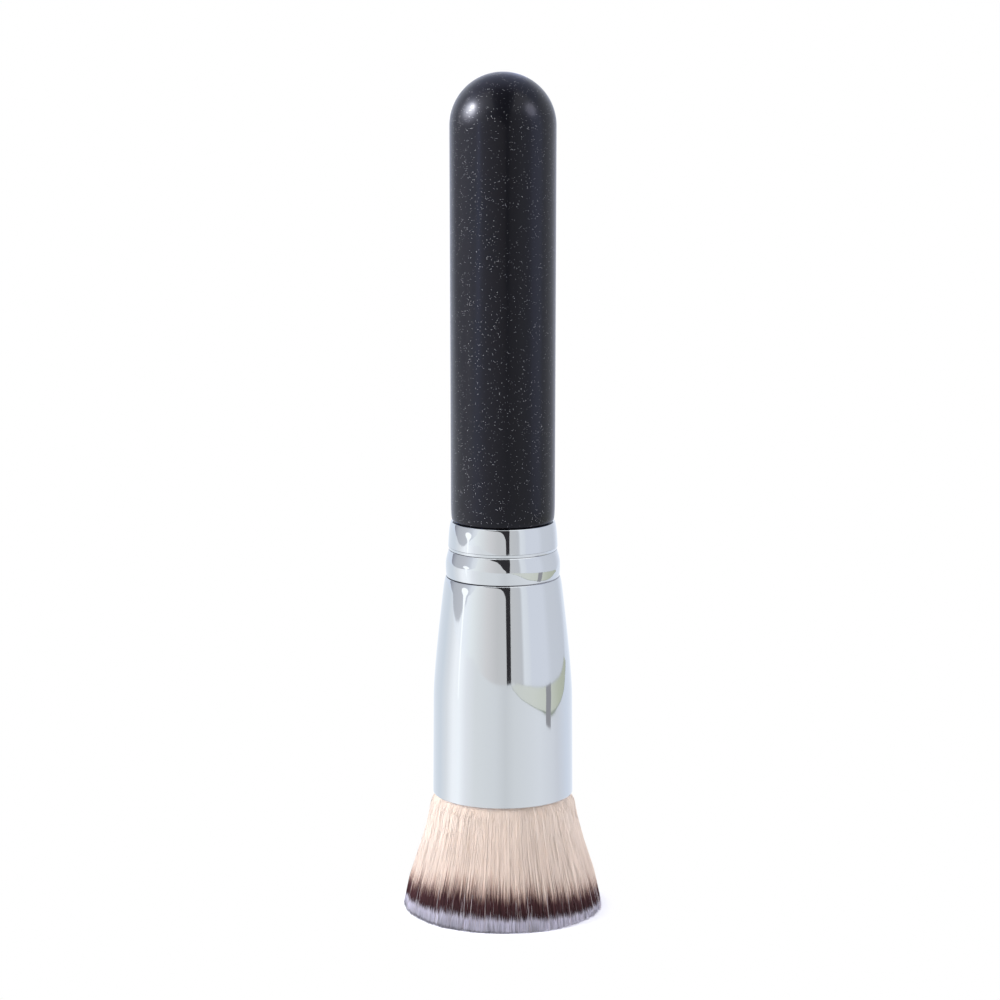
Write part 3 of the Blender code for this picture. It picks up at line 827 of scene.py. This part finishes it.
tone_seed = add_node(bundle, "ShaderNodeMath", {0: given["Seed"], 1: 2.0}, operation="ADD")
strand_tone = add_node(bundle, "FunctionNodeRandomValue",
                       {2: 0.0, 3: 1.0, "ID": strand_number, "Seed": tone_seed})
tuft_tone = add_node(bundle, "FunctionNodeSeparateColor", {0: tufts.outputs["Color"]})
toned = add_node(bundle, "GeometryNodeStoreNamedAttribute",
                 {"Geometry": strands, "Name": "strand_tone", "Value": strand_tone.outputs[1]})
tufted = add_node(bundle, "GeometryNodeStoreNamedAttribute",
                  {"Geometry": toned, "Name": "tuft_tone", "Value": tuft_tone})
shaped = add_node(bundle, "GeometryNodeSetPosition",
                  {"Geometry": tufted, "Position": final_place})
taper = add_node(bundle, "ShaderNodeMapRange",
                 {"Value": outside, "From Min": TAPER_START, "To Min": 1.0,
                  "To Max": TIP_THICKNESS})
half_diameter = add_node(bundle, "ShaderNodeMath", {0: given["Diameter"], 1: 2.0},
                         operation="DIVIDE")
section = add_node(bundle, "GeometryNodeCurvePrimitiveCircle",
                   {"Resolution": 3, "Radius": half_diameter})
bodies = add_node(bundle, "GeometryNodeCurveToMesh",
                  {"Curve": shaped, "Profile Curve": section, "Scale": taper,
                   "Fill Caps": True})
real = add_node(bundle, "GeometryNodeRealizeInstances", {"Geometry": bodies})
finished = add_node(bundle, "GeometryNodeSetMaterial",
                    {"Geometry": real, "Material": given["Material"]})
add_node(bundle, "NodeGroupOutput", {"Geometry": finished})
print("nodes in the finished tree:", len(bundle.nodes))

# %% [markdown]
# ## The dye
#
# The filaments are dyed in three zones: cream, a brown band, and pale tips. Below the pale tips,
# the last 0.4 mm at the face is painted grey: painted contact shade where they meet the table.
# The material finds a filament's zone by its height above the face. The head was dipped a little
# askew, and the band is narrower at both sides, so a tilt and a bend across the brush go into
# that height.

# %% Height above the face
DYE_TILT = 0.024
DYE_BEND = 0.48
DYE_BEND_POWER = 4.0

nylon, tree, shader = new_material("dyed_nylon_filament")
place = add_node(tree, "ShaderNodeTexCoord").outputs["Object"]
across = add_node(tree, "ShaderNodeSeparateXYZ", {0: place}).outputs["X"]
straight_height = add_node(tree, "ShaderNodeVectorMath", {0: place, 1: (DYE_TILT, 0, 1)},
                           operation="DOT_PRODUCT").outputs["Value"]
across_share = add_node(tree, "ShaderNodeMath", {0: across, 1: FACE_RADIUS},
                        operation="DIVIDE")
to_the_side = add_node(tree, "ShaderNodeMath", {0: across_share, 1: DYE_BEND_POWER},
                       operation="POWER")
bend = add_node(tree, "ShaderNodeMath", {0: to_the_side, 1: DYE_BEND, 2: 1.0},
                operation="MULTIPLY_ADD")
height_here = add_node(tree, "ShaderNodeMath", {0: straight_height, 1: bend},
                       operation="MULTIPLY")
print("the band narrows to", round(1 / (1 + DYE_BEND), 2), "of its height at the sides")

# %% [markdown]
# Tufts were dipped to slightly different depths, so the band's edges are ragged, and the
# upper edge more so. The height is therefore stretched by the strand's and the tuft's own
# tone, and a colour ramp gives the zone. Its positions are heights in millimetres.

# %% Zones of the dye
RAMP_TOP = 30.0 * MM
STRAND_STRETCH = 0.42
TUFT_STRETCH = 0.26
# The first zone, grey at the face itself, is painted contact shade where the tips meet the table;
# the others are dye.
DYE_ZONES_AND_CONTACT_SHADE = (
    (0.0, "#9A97A2"), (0.4, "#F2EFFB"), (2.1, "#F2EEFB"), (2.8, "#451E22"),
    (5.5, "#57292C"), (7.1, "#D4B6A6"), (8.7, "#FAE9DA"), (22.0, "#FCEDDE"),
)

own = add_node(tree, "ShaderNodeAttribute", attribute_name="strand_tone").outputs["Fac"]
tuft = add_node(tree, "ShaderNodeAttribute", attribute_name="tuft_tone").outputs["Fac"]
own_stretch = add_node(tree, "ShaderNodeMapRange",
                       {"Value": own, "To Min": 1 - STRAND_STRETCH / 2,
                        "To Max": 1 + STRAND_STRETCH / 2})
tuft_stretch = add_node(tree, "ShaderNodeMapRange",
                        {"Value": tuft, "To Min": (1 - TUFT_STRETCH / 2) / RAMP_TOP,
                         "To Max": (1 + TUFT_STRETCH / 2) / RAMP_TOP})
stretch = add_node(tree, "ShaderNodeMath", {0: own_stretch, 1: tuft_stretch},
                   operation="MULTIPLY")
dye_share = add_node(tree, "ShaderNodeMath", {0: height_here, 1: stretch}, operation="MULTIPLY")
dye = add_node(tree, "ShaderNodeValToRGB", {"Fac": dye_share})
fill_ramp(dye, [(zone_mm * MM / RAMP_TOP, zone_colour) for zone_mm, zone_colour in DYE_ZONES_AND_CONTACT_SHADE])
print("zones of the dye:", len(DYE_ZONES_AND_CONTACT_SHADE))

# %% [markdown]
# Each strand is a little lighter or darker than the next, and its tuft's tone counts twice as
# much as its own. Near the face the tones also reach much darker: this is painted shade, for the
# shade that loose ends cast on each other. A few filaments slipped out of the dye and stay pale:
# they are the fine light lines across the band.

# %% Tones of the strands
TIP_SHADE_REACH = 3.2 * MM
DARKEST_TIP_SHADE_TONE = 0.4
LEAST_TONE = 0.94
MOST_TONE = 1.04
TUFT_WEIGHT = 2.0
UNDYED_FROM = 0.955
UNDYED_REACH = 6.5 * MM

# Painted shade: near the face the least tone drops, for the shade between the loose ends.
least_tone_with_tip_shade = add_node(tree, "ShaderNodeMapRange",
                      {"Value": height_here, "From Max": TIP_SHADE_REACH,
                       "To Min": DARKEST_TIP_SHADE_TONE, "To Max": LEAST_TONE})
both_tones = add_node(tree, "ShaderNodeMath", {0: tuft, 1: TUFT_WEIGHT, 2: own},
                      operation="MULTIPLY_ADD")
tone = add_node(tree, "ShaderNodeMapRange",
                {"Value": both_tones, "From Max": TUFT_WEIGHT + 1, "To Min": least_tone_with_tip_shade,
                 "To Max": MOST_TONE})
undyed = add_node(tree, "ShaderNodeMath", {0: own, 1: UNDYED_FROM}, operation="GREATER_THAN")
in_band = add_node(tree, "ShaderNodeMath", {0: height_here, 1: UNDYED_REACH},
                   operation="LESS_THAN")
left_pale = add_node(tree, "ShaderNodeMath", {0: undyed, 1: in_band}, operation="MULTIPLY")
dyed = add_node(tree, "ShaderNodeMix",
                {"Factor": left_pale, "A": dye, "B": linear("#E8DBDA")}, data_type="RGBA")
tinted = add_node(tree, "ShaderNodeVectorMath", {0: dyed.outputs["Result"], 1: tone},
                  operation="MULTIPLY")
print("one filament in", round(1 / (1 - UNDYED_FROM)), "is left pale")

# %% [markdown]
# Nylon is a slightly glossy plastic that lets light through. A translucent share lets the
# light in the gaps between the strands glow instead of turning into black lines.

# %% Dyed nylon filament
TRANSLUCENCY = 0.45

rough = add_node(tree, "ShaderNodeMapRange", {"Value": tuft, "To Min": 0.42, "To Max": 0.55})
fill_sockets(tree, shader, {"Base Color": tinted, "Roughness": rough, "IOR": 1.53})
glow = add_node(tree, "ShaderNodeBsdfTranslucent", {"Color": tinted})
filament = add_node(tree, "ShaderNodeMixShader", {0: TRANSLUCENCY, 1: shader, 2: glow})
fill_sockets(tree, tree.get_output_node("ALL"), {"Surface": filament})
print("nodes in the filament's material:", len(tree.nodes))

# %% [markdown]
# Real filaments let light through, so a bundle of them looks soft, like a single surface.
# Bending each strand's normals towards those of the whole bundle gives the same calm look. A
# point on the axis has no direction of its own, so no length is allowed to be quite zero.

# %% Share the light
HULL_SHARE = 0.5
HULL_LEAN = 0.25
LEAST_LENGTH = 0.0005 * MM


def share_light(mesh):
    """Bend the mesh's normals towards those of the whole bundle."""
    count = len(mesh.vertices)
    places = numpy.empty(count * 3)
    own_normals = numpy.empty(count * 3)
    mesh.vertices.foreach_get("co", places)
    mesh.vertex_normals.foreach_get("vector", own_normals)
    hull = places.reshape(-1, 3).copy()
    hull[:, 2] = 0
    hull /= numpy.maximum(numpy.linalg.norm(hull, axis=1, keepdims=True), LEAST_LENGTH)
    hull[:, 2] = HULL_LEAN
    bent = HULL_SHARE * hull + (1 - HULL_SHARE) * own_normals.reshape(-1, 3)
    bent /= numpy.linalg.norm(bent, axis=1, keepdims=True)
    mesh.normals_split_custom_set_from_vertices([tuple(normal) for normal in bent])


# %% [markdown]
# The tree runs once for each ring of the bundle. A ring's row in the table gives its two
# shares, its number of filaments, the points along each, and their diameter. The shares say
# where the ring lies: 0 is the brush's axis and 1 the outermost filament. The ring that shows
# is grown in five runs, because one mesh of all its filaments would be too heavy. The seeds
# lie far enough apart for every run to draw random numbers of its own.

# %% Grow the rings of the bundle
FIRST_SEED = 3
SEED_STEP = 10
FILAMENT_RINGS = (
    ("filaments_core", 0.0, 0.64, 7000, 4, 0.21 * MM),
    ("filaments_middle", 0.64, 0.89, 6000, 6, 0.15 * MM),
    *((f"filaments_outer_{letter}", 0.88, 0.98, 5100, 7, 0.08 * MM) for letter in "abcde"),
)

filament_pieces = []
for run, (name, inner_share, outer_share, count, points, diameter) in enumerate(FILAMENT_RINGS):
    carrier = place_object(name + "_carrier", bpy.data.meshes.new(name + "_carrier"))
    grow = carrier.modifiers.new("grow", "NODES")
    grow.node_group = bundle
    settings = {
        "Count": count, "Points": points, "Seed": FIRST_SEED + SEED_STEP * run,
        "Inner Share": inner_share, "Outer Share": outer_share, "Diameter": diameter,
        "Material": nylon, **SHARED_SIZES,
    }
    for socket_name, value in settings.items():
        grow[socket_of[socket_name]] = value
    mesh = freeze(carrier, name)
    share_light(mesh)
    filament_pieces.append(place_object(name, mesh))
    lowest = min(vertex.co.z for vertex in mesh.vertices)
    widest = max(math.hypot(vertex.co.x, vertex.co.y) for vertex in mesh.vertices)
    print(f"{name}: {triangles_in(mesh)} triangles, lowest {lowest / MM:.2f} mm, "
          f"widest {widest / MM:.2f} mm")

# %% [markdown]
# ## Inner pieces
#
# The resin plug, its binding thread and the adhesive ring are sealed inside the ferrule.
# They keep their plain shape, and each still gets a finish of its own, because a part may
# be taken apart by whoever uses it. All three are cast or wound, so their tone drifts a
# little from place to place.

# %% Finishes of the hidden pieces
ROUGHNESS_DRIFT = 0.08


def drifting_material(name, light, dark, grain, roughness):
    """A cast or wound material whose tone drifts between two colours over a grain size."""
    material, tree, shader = new_material(name)
    place = add_node(tree, "ShaderNodeTexCoord").outputs["Object"]
    noise = add_node(tree, "ShaderNodeTexNoise",
                     {"Vector": place, "Scale": 1 / grain, "Detail": 3.0})
    colour = add_node(tree, "ShaderNodeMix",
                      {"Factor": noise, "A": linear(light), "B": linear(dark)},
                      data_type="RGBA")
    rough = add_node(tree, "ShaderNodeMapRange",
                     {"Value": noise, "To Min": roughness - ROUGHNESS_DRIFT,
                      "To Max": roughness + ROUGHNESS_DRIFT})
    fill_sockets(tree, shader, {"Base Color": colour.outputs["Result"], "Roughness": rough})
    return material


HIDDEN_FINISHES = {
    "resin_plug": drifting_material("cast_amber_resin", "#9A6B34", "#7C4F22", 2.0 * MM, 0.25),
    "binding_thread": drifting_material("waxed_thread", "#D2C8B4", "#A89C84", 0.3 * MM, 0.75),
    "handle_glue": drifting_material("cured_adhesive", "#C9A86A", "#B08E52", 1.5 * MM, 0.32),
}
for node_name, finish in HIDDEN_FINISHES.items():
    node_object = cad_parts[node_name]
    node_object.data.materials.clear()
    node_object.data.materials.append(finish)
    print(node_name, "gets", finish.name)

# %% [markdown]
# The filaments' roots end in a slice of the same resin. It is turned here, because the
# filaments stand for the piece that it belongs to.

# %% Turn the slice of resin
SLICE_THICKNESS = 1.6 * MM
SLICE_CHAMFER = 0.2 * MM

slice_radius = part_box("resin_plug")[1][0]
slice_top_z = head_high[2]
root_slice = turn_profile("filament_root_slice", [
    (0, slice_top_z),
    (slice_radius - SLICE_CHAMFER, slice_top_z),
    (slice_radius, slice_top_z - SLICE_CHAMFER),
    (slice_radius, slice_top_z - SLICE_THICKNESS),
    (0, slice_top_z - SLICE_THICKNESS),
])
root_slice.data.materials.append(HIDDEN_FINISHES["resin_plug"])

# %% [markdown]
# ## Fasten the pieces to the frame
#
# Nothing on this brush moves, so there is one body, and every piece rides on it. Each finer
# piece says which plain one it stands for, and which material slot of the record it has.

# %% Ride and replace
riders = (
    (handle, "handle", "lacquered_handle"),
    (ferrule, "ferrule", "chrome_ferrule"),
    *((piece, "bristles", "filaments") for piece in filament_pieces),
    (root_slice, "bristles", "root_resin"),
)
for piece, node_name, slot in riders:
    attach(piece, "root")
    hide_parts(node_name)
print("pieces that ride on the root:", len(riders))

# %% [markdown]
# ## The studio
#
# The brush was photographed in a light tent on a white table. The camera stands 0.6 m away
# and looks down by 10 degrees through a long lens. These values were fitted to the three
# ellipses that the photo shows: the rim, the mouth and the bristle face.

# %% Camera
CAMERA_DISTANCE = 588.7 * MM
CAMERA_HEIGHT = 181.8 * MM
CAMERA_SIDE = -0.52 * MM
CAMERA_PITCH_DEGREES = 10.29
LENS_MM = 120.8
SENSOR_MM = 36.0
NEAREST_IN_VIEW = 10.0 * MM

camera_data = bpy.data.cameras.new("studio_camera")
camera_data.lens = LENS_MM
camera_data.sensor_width = SENSOR_MM
camera_data.clip_start = NEAREST_IN_VIEW
camera = place_object("studio_camera", camera_data)
camera.location = (CAMERA_SIDE, -CAMERA_DISTANCE, CAMERA_HEIGHT)
camera.rotation_euler = (math.radians(90 - CAMERA_PITCH_DEGREES), 0, 0)
bpy.context.scene.camera = camera
bpy.context.scene.view_settings.view_transform = "Standard"
print("field of view:", round(math.degrees(camera_data.angle), 1), "degrees")

# %% [markdown]
# Chrome shows the whole room, and a room is never evenly bright. Its tones are given by
# their direction, as those of the creases were. The mirror meets them at one and a half times
# their brightness.

# %% Tones round the brush
MIRROR_STRENGTH = 1.5
TABLE_TONES = (
    (-180, "#D1D6DE"), (-122, "#CBD0D6"), (-104, "#D9DADC"), (-88, "#F0F0F1"),
    (-75, "#F1F2F3"), (-62, "#E0E0E2"), (-45, "#D5D6D6"), (-12, "#CFD0D1"),
    (4, "#C6C7C8"), (18, "#CDCECF"), (60, "#D4D5D8"), (84, "#CECFD3"),
    (98, "#C8C9CE"), (125, "#C9CED8"), (180, "#D1D6DE"),
)
WALL_TONES = (
    (-180, "#CFD4DE"), (-126, "#CBD1DC"), (-104, "#DEE1E6"), (-86, "#EEEFF1"),
    (-72, "#E9EBEE"), (-58, "#E2E4E3"), (-42, "#D6D6D5"), (-28, "#CECBCA"),
    (-10, "#C0BEBD"), (12, "#BFBEBD"), (33, "#BBBBBD"), (37, "#D7D9DC"),
    (46, "#D3D5D9"), (50, "#CDCFD6"), (80, "#CDCFD6"), (92, "#C4C6CC"), (112, "#C2C4CA"),
    (132, "#BEC1C8"), (155, "#CCD0DA"), (180, "#CFD4DE"),
)
print("tones round the table:", len(TABLE_TONES), "and round the wall:", len(WALL_TONES))

# %% [markdown]
# The table is a white sheet. Near the brush it is a matt surface that keeps the soft shadow
# where the tips touch it. Farther out it is pure white for the camera, so that its edge
# doesn't show against the white backdrop. Mirrors meet its tones instead. The corners of all
# the studio's sheets are given in metres.

# %% White table
TABLE_DROP = 0.02 * MM
TABLE_CORNERS = (
    (-0.72, -0.57), (0.19, -0.57), (0.19, 0.07), (0.225, 0.12), (0.225, 0.70), (-0.72, 0.70),
)


def stage_sheet(name, bm):
    """Turn a drawing into a sheet of the studio."""
    sheet = place_object(name, mesh_from(bm, name))
    return sheet


def flat_sheet(name, corners, z):
    """A level sheet of the studio, given by its corners."""
    bm = bmesh.new()
    bm.faces.new([bm.verts.new((x, y, z)) for x, y in corners])
    return stage_sheet(name, bm)


table = flat_sheet("white_table", TABLE_CORNERS, -TABLE_DROP)
print("the table reaches", [round(size, 2) for size in table.dimensions[:2]], "m")

# %% [markdown]
# The table's paper answers each kind of ray in its own way. Light Path tells them apart: the
# camera gets white outside the shadow, a mirror gets the tones, and all other light meets the
# matt paper.

# %% White table paper
SHADOW_RADIUS = 17.5 * MM
FADE_RADIUS = 21 * MM

table_paper, tree, shader = new_material("white_table_paper")
fill_sockets(tree, shader, {"Base Color": linear("#EDEDF4"), "Roughness": 0.8})
rays = add_node(tree, "ShaderNodeLightPath").outputs
seen = add_node(tree, "ShaderNodeMath",
                {0: rays["Is Camera Ray"], 1: rays["Is Transmission Ray"]}, operation="MAXIMUM")
place = add_node(tree, "ShaderNodeTexCoord").outputs["Object"]
away = add_node(tree, "ShaderNodeVectorMath", {0: place}, operation="LENGTH")
fade = add_node(tree, "ShaderNodeMapRange",
                {"Value": away.outputs["Value"], "From Min": SHADOW_RADIUS,
                 "From Max": FADE_RADIUS}, interpolation_type="SMOOTHSTEP")
whitened = add_node(tree, "ShaderNodeMath", {0: seen, 1: fade}, operation="MULTIPLY")
white = add_node(tree, "ShaderNodeEmission", {"Strength": 1.0})
for_camera = add_node(tree, "ShaderNodeMixShader", {0: whitened, 1: shader, 2: white})
toned_paper = add_node(tree, "ShaderNodeEmission",
                       {"Color": tones_by_direction(tree, TABLE_TONES),
                        "Strength": MIRROR_STRENGTH})
for_mirror = add_node(tree, "ShaderNodeMixShader",
                      {0: rays["Is Glossy Ray"], 1: for_camera, 2: toned_paper})
fill_sockets(tree, tree.get_output_node("ALL"), {"Surface": for_mirror})
table.data.materials.append(table_paper)
print("the shadow ends", FADE_RADIUS / MM, "mm from the axis")

# %% [markdown]
# The walls are sheets of paper that stand in rings round the brush, and only mirrors can see
# them. A sheet's outline is a list of rows, from its foot up. Each row is a height with the
# directions of its left and its right edge.

# %% Sheets that only mirrors see
STRIP_STEP_DEGREES = 2.0
LEAST_STRIP_STEPS = 4


def for_mirrors_only(sheet, colour, strength):
    """Let a sheet shine in one colour, or in tones by direction, and only in reflections."""
    paper, tree, light = new_material(sheet.name, "ShaderNodeEmission")
    tone = linear(colour) if isinstance(colour, str) else tones_by_direction(tree, colour)
    fill_sockets(tree, light, {"Color": tone, "Strength": strength})
    sheet.data.materials.append(paper)
    sheet.visible_camera = False
    sheet.visible_diffuse = False
    sheet.visible_transmission = False
    sheet.visible_shadow = False


def standing_sheet(name, radius, rows):
    """A bent sheet round the brush; rows are (height, left degrees, right degrees)."""
    widest = max(right - left for z, left, right in rows)
    steps = max(LEAST_STRIP_STEPS, math.ceil(widest / STRIP_STEP_DEGREES))
    bm = bmesh.new()
    lines = []
    for z, left, right in rows:
        line = []
        for step in range(steps + 1):
            around = math.radians(left + (right - left) * step / steps)
            line.append(bm.verts.new((radius * math.sin(around), -radius * math.cos(around), z)))
        lines.append(line)
    for low, high in zip(lines, lines[1:]):
        for step in range(steps):
            bm.faces.new((low[step], low[step + 1], high[step + 1], high[step]))
    return stage_sheet(name, bm)


# %% [markdown]
# The dark, narrow sheet near the middle is where the tent opens for the camera. It draws the
# fine dark line down the chrome, which tells the eye that this is a mirror and not grey
# paint. A grey screen stands on the left, and the white paper of a lamp shines before it.

# %% Wall, opening, screen and lamp
WALL_ROWS = ((-0.30, -180, 180), (0.90, -180, 180))
OPENING_ROWS = (
    (-0.30, 7, 13.8), (0.0, 6.3, 13.6), (0.09, 5.4, 13.8), (0.19, 3.2, 14), (0.31, -0.5, 14.3),
    (0.43, -5, 14.8), (0.54, -12, 15), (0.60, -26, 15), (0.70, -40, 15), (0.90, -46, 15),
)
SCREEN_ROWS = (
    (0.038, -104, -94), (0.041, -111, -86), (0.047, -117, -80), (0.053, -120, -72),
    (0.066, -125, -64), (0.090, -128, -57), (0.130, -129, -54), (0.30, -131, -52),
)
SCREEN_TONES = (
    (-131, "#55555D"), (-127, "#7E7E87"), (-119, "#9B9CA4"), (-108, "#B0B1B6"), (-84, "#BCBCC0"),
    (-70, "#C6C8CE"), (-64, "#D6D8DC"), (-52, "#DEE0E1"),
)
LAMP_ROWS = (
    (0.0, -78.5, -77), (0.050, -79.5, -76), (0.058, -82.5, -72.5), (0.066, -85.5, -70),
    (0.078, -86, -69.5), (0.087, -83, -72.5), (0.091, -79, -76),
)

for sheet_name, radius, rows, colour, strength in (
    ("wall", 1.20, WALL_ROWS, WALL_TONES, MIRROR_STRENGTH),
    ("tent_opening", 1.18, OPENING_ROWS, "#3A383A", 1.0),
    ("screen", 0.26, SCREEN_ROWS, SCREEN_TONES, MIRROR_STRENGTH),
    ("lamp_paper", 0.25, LAMP_ROWS, "#FFFFFF", MIRROR_STRENGTH),
):
    for_mirrors_only(standing_sheet(sheet_name, radius, rows), colour, strength)
    print(sheet_name, "stands", radius, "m away")

# %% [markdown]
# A pale green board lies on the right half of the table, and a thin grey strip across the board
# is a painted shadow. Both bend into the curved shapes that a round mirror makes of straight
# things. The front of the tent's roof is white and draws the bright lines along the ferrule's
# upper edges. Its rear half is a cooler, dimmer white that rims the dome. A small dark card hangs
# over the front of the dome, because the real tent was open there and the lacquer shows a deep
# black.

# %% Board, painted shadow strip and roof
BOARD_NEAR_EDGE = (
    (0.130, -0.53), (0.140, -0.46), (0.156, -0.386), (0.163, -0.30), (0.161, -0.20),
    (0.159, -0.12), (0.163, -0.06), (0.170, 0.014), (0.181, 0.058), (0.198, 0.095),
    (0.211, 0.13), (0.214, 0.16), (0.208, 0.20),
)
BOARD_FAR_EDGE = (
    (0.242, 0.20), (0.285, 0.12), (0.319, 0.057), (0.342, -0.028), (0.350, -0.10),
    (0.347, -0.20), (0.329, -0.316), (0.283, -0.42), (0.235, -0.515),
)
BOARD_TONES = (
    (0, "#EFF0EA"), (50, "#F2F3E8"), (80, "#E9EBDD"), (104, "#D5D8C4"), (140, "#C6CAB8"),
)
EDGE_WIDTH = 0.004
SHADOW_STRIP_CORNERS = ((0.150, -0.045), (0.350, -0.092), (0.350, -0.024), (0.150, -0.018))
ROOF_FRONT = ((-1.2, -1.2), (1.2, -1.2), (1.2, 0.0), (-1.2, 0.0))
ROOF_REAR = ((-1.2, 0.0), (1.2, 0.0), (1.2, 1.2), (-1.2, 1.2))
ROOF_Z = 0.9
DOME_CARD = ((-0.03, -0.1), (0.03, -0.1), (0.016, -0.004), (-0.016, -0.004))
DOME_CARD_Z = 0.19


def edge_strip(edge, shift):
    """The corners of a narrow strip along a line of points."""
    return edge + tuple((x + shift, y) for x, y in reversed(edge))


for sheet_name, corners, z, colour, strength in (
    ("pale_board", BOARD_NEAR_EDGE + BOARD_FAR_EDGE, 0.5 * MM, BOARD_TONES, 1.0),
    ("board_near_edge", edge_strip(BOARD_NEAR_EDGE, -EDGE_WIDTH), 0.7 * MM, "#9CA294", 1.0),
    ("board_far_edge", edge_strip(BOARD_FAR_EDGE, EDGE_WIDTH), 0.7 * MM, "#B2B4AC", 1.0),
    # A painted shadow: a thin grey strip across the board.
    ("painted_shadow_strip", SHADOW_STRIP_CORNERS, 1.0 * MM, "#A9A7AA", 1.0),
    ("roof_front", ROOF_FRONT, ROOF_Z, "#FFFFFF", MIRROR_STRENGTH),
    ("roof_rear", ROOF_REAR, ROOF_Z, "#CBD1EA", 1.0),
    ("dome_card", DOME_CARD, DOME_CARD_Z, "#303036", 1.0),
):
    for_mirrors_only(flat_sheet(sheet_name, corners, z), colour, strength)
    print(sheet_name, "lies", z, "m above the table")

# %% [markdown]
# Two lamps stand at the sides, the left one stronger. Their places follow from the two
# highlights on the dome of the handle. Two large, slightly blue papers at the sides draw the
# handle's grey flanks. A large soft panel above fills the rest, and is hidden from mirrors
# and lacquer, which would show it as one more highlight.
#
# A lamp that is bright enough for a highlight on lacquer would burn out the chrome. So light
# linking keeps the lamps off the ferrule, which has its own paper lamp above. The left lamp
# has two parts. Its bulb and the glow round it only meet the handle, and its large diffuser
# lights the pale filaments and the table, where a small bulb would draw hard shadows.
#
# Light linking works with collections. A lamp lights what its collection holds, and one whose
# collection only holds an exception lights all the rest.

# %% What each lamp lights
def light_group(name, objects):
    """A collection of objects, for light linking."""
    group = bpy.data.collections.new(name)
    for member in objects:
        group.objects.link(member)
    return group


all_but_ferrule = light_group("all_but_the_ferrule", [ferrule])
all_but_ferrule.collection_objects[0].light_linking.link_state = "EXCLUDE"
handle_only = light_group("handle_only", [handle])
head_and_table = light_group("head_and_table", [table, *filament_pieces])

# %% [markdown]
# Each lamp is a round or oval sheet of light that looks at the middle of the brush. Its row
# gives its direction round the brush and above it in degrees, its distance, width and height
# in metres, and its power in watts.

# %% Lamps
LAMPS = (
    ("bulb_left", -84, 33, 0.8, 0.15, 0.15, 9.5, "#FFFFFF", handle_only),
    ("bulb_glow_left", -87, 28, 0.8, 0.22, 0.22, 11.0, "#FFFFFF", handle_only),
    ("diffuser_left", -80, 30, 0.8, 0.6, 0.6, 11.0, "#FFFFFF", head_and_table),
    ("fill_lamp_right", 72, 33, 0.9, 0.35, 0.35, 2.0, "#F0EEFF", all_but_ferrule),
    ("side_paper_left", -66, 4, 0.9, 0.5, 0.8, 4.0, "#B4C2FA", all_but_ferrule),
    ("side_paper_right", 78, 4, 0.9, 0.5, 0.8, 0.9, "#BAC7F8", all_but_ferrule),
    ("soft_panel_above", 0, 80, 1.0, 0.9, 0.9, 4.0, "#FFFFFF", all_but_ferrule),
)

for (lamp_name, side_degrees, rise_degrees, lamp_distance, lamp_width, lamp_height, power,
     colour, lit) in LAMPS:
    around = math.radians(side_degrees)
    above = math.radians(rise_degrees)
    data = bpy.data.lights.new(lamp_name, "AREA")
    data.shape = "ELLIPSE"
    data.size = lamp_width
    data.size_y = lamp_height
    data.energy = power
    data.color = linear(colour)[:3]
    lamp = place_object(lamp_name, data)
    lamp.location = (
        lamp_distance * math.cos(above) * math.sin(around),
        -lamp_distance * math.cos(above) * math.cos(around),
        HANDLE_TOP_Z / 2 + lamp_distance * math.sin(above),
    )
    lamp.rotation_euler = (math.pi / 2 - above, 0, around)
    lamp.light_linking.receiver_collection = lit
    lamp.visible_glossy = lamp_name != "soft_panel_above"
    print(lamp_name, "at", [round(value, 2) for value in lamp.location])

# %% [markdown]
# The backdrop is white for the camera and for mirrors. Matt surfaces get a little less of
# it, so that the lamps can model the shapes.

# %% Backdrop
WORLD_FILL = 0.92

world = bpy.data.worlds.new("white_tent")
world.use_nodes = True
bpy.context.scene.world = world
tree = world.node_tree
tree.nodes.clear()
rays = add_node(tree, "ShaderNodeLightPath").outputs
seen = add_node(tree, "ShaderNodeMath",
                {0: rays["Is Camera Ray"], 1: rays["Is Glossy Ray"]}, operation="MAXIMUM")
seen = add_node(tree, "ShaderNodeMath", {0: seen, 1: rays["Is Transmission Ray"]},
                operation="MAXIMUM")
strength = add_node(tree, "ShaderNodeMapRange", {"Value": seen, "To Min": WORLD_FILL})
background = add_node(tree, "ShaderNodeBackground",
                      {"Color": (1, 1, 1, 1), "Strength": strength})
add_node(tree, "ShaderNodeOutputWorld", {"Surface": background})
print("matt surfaces get", WORLD_FILL, "of the backdrop's light")
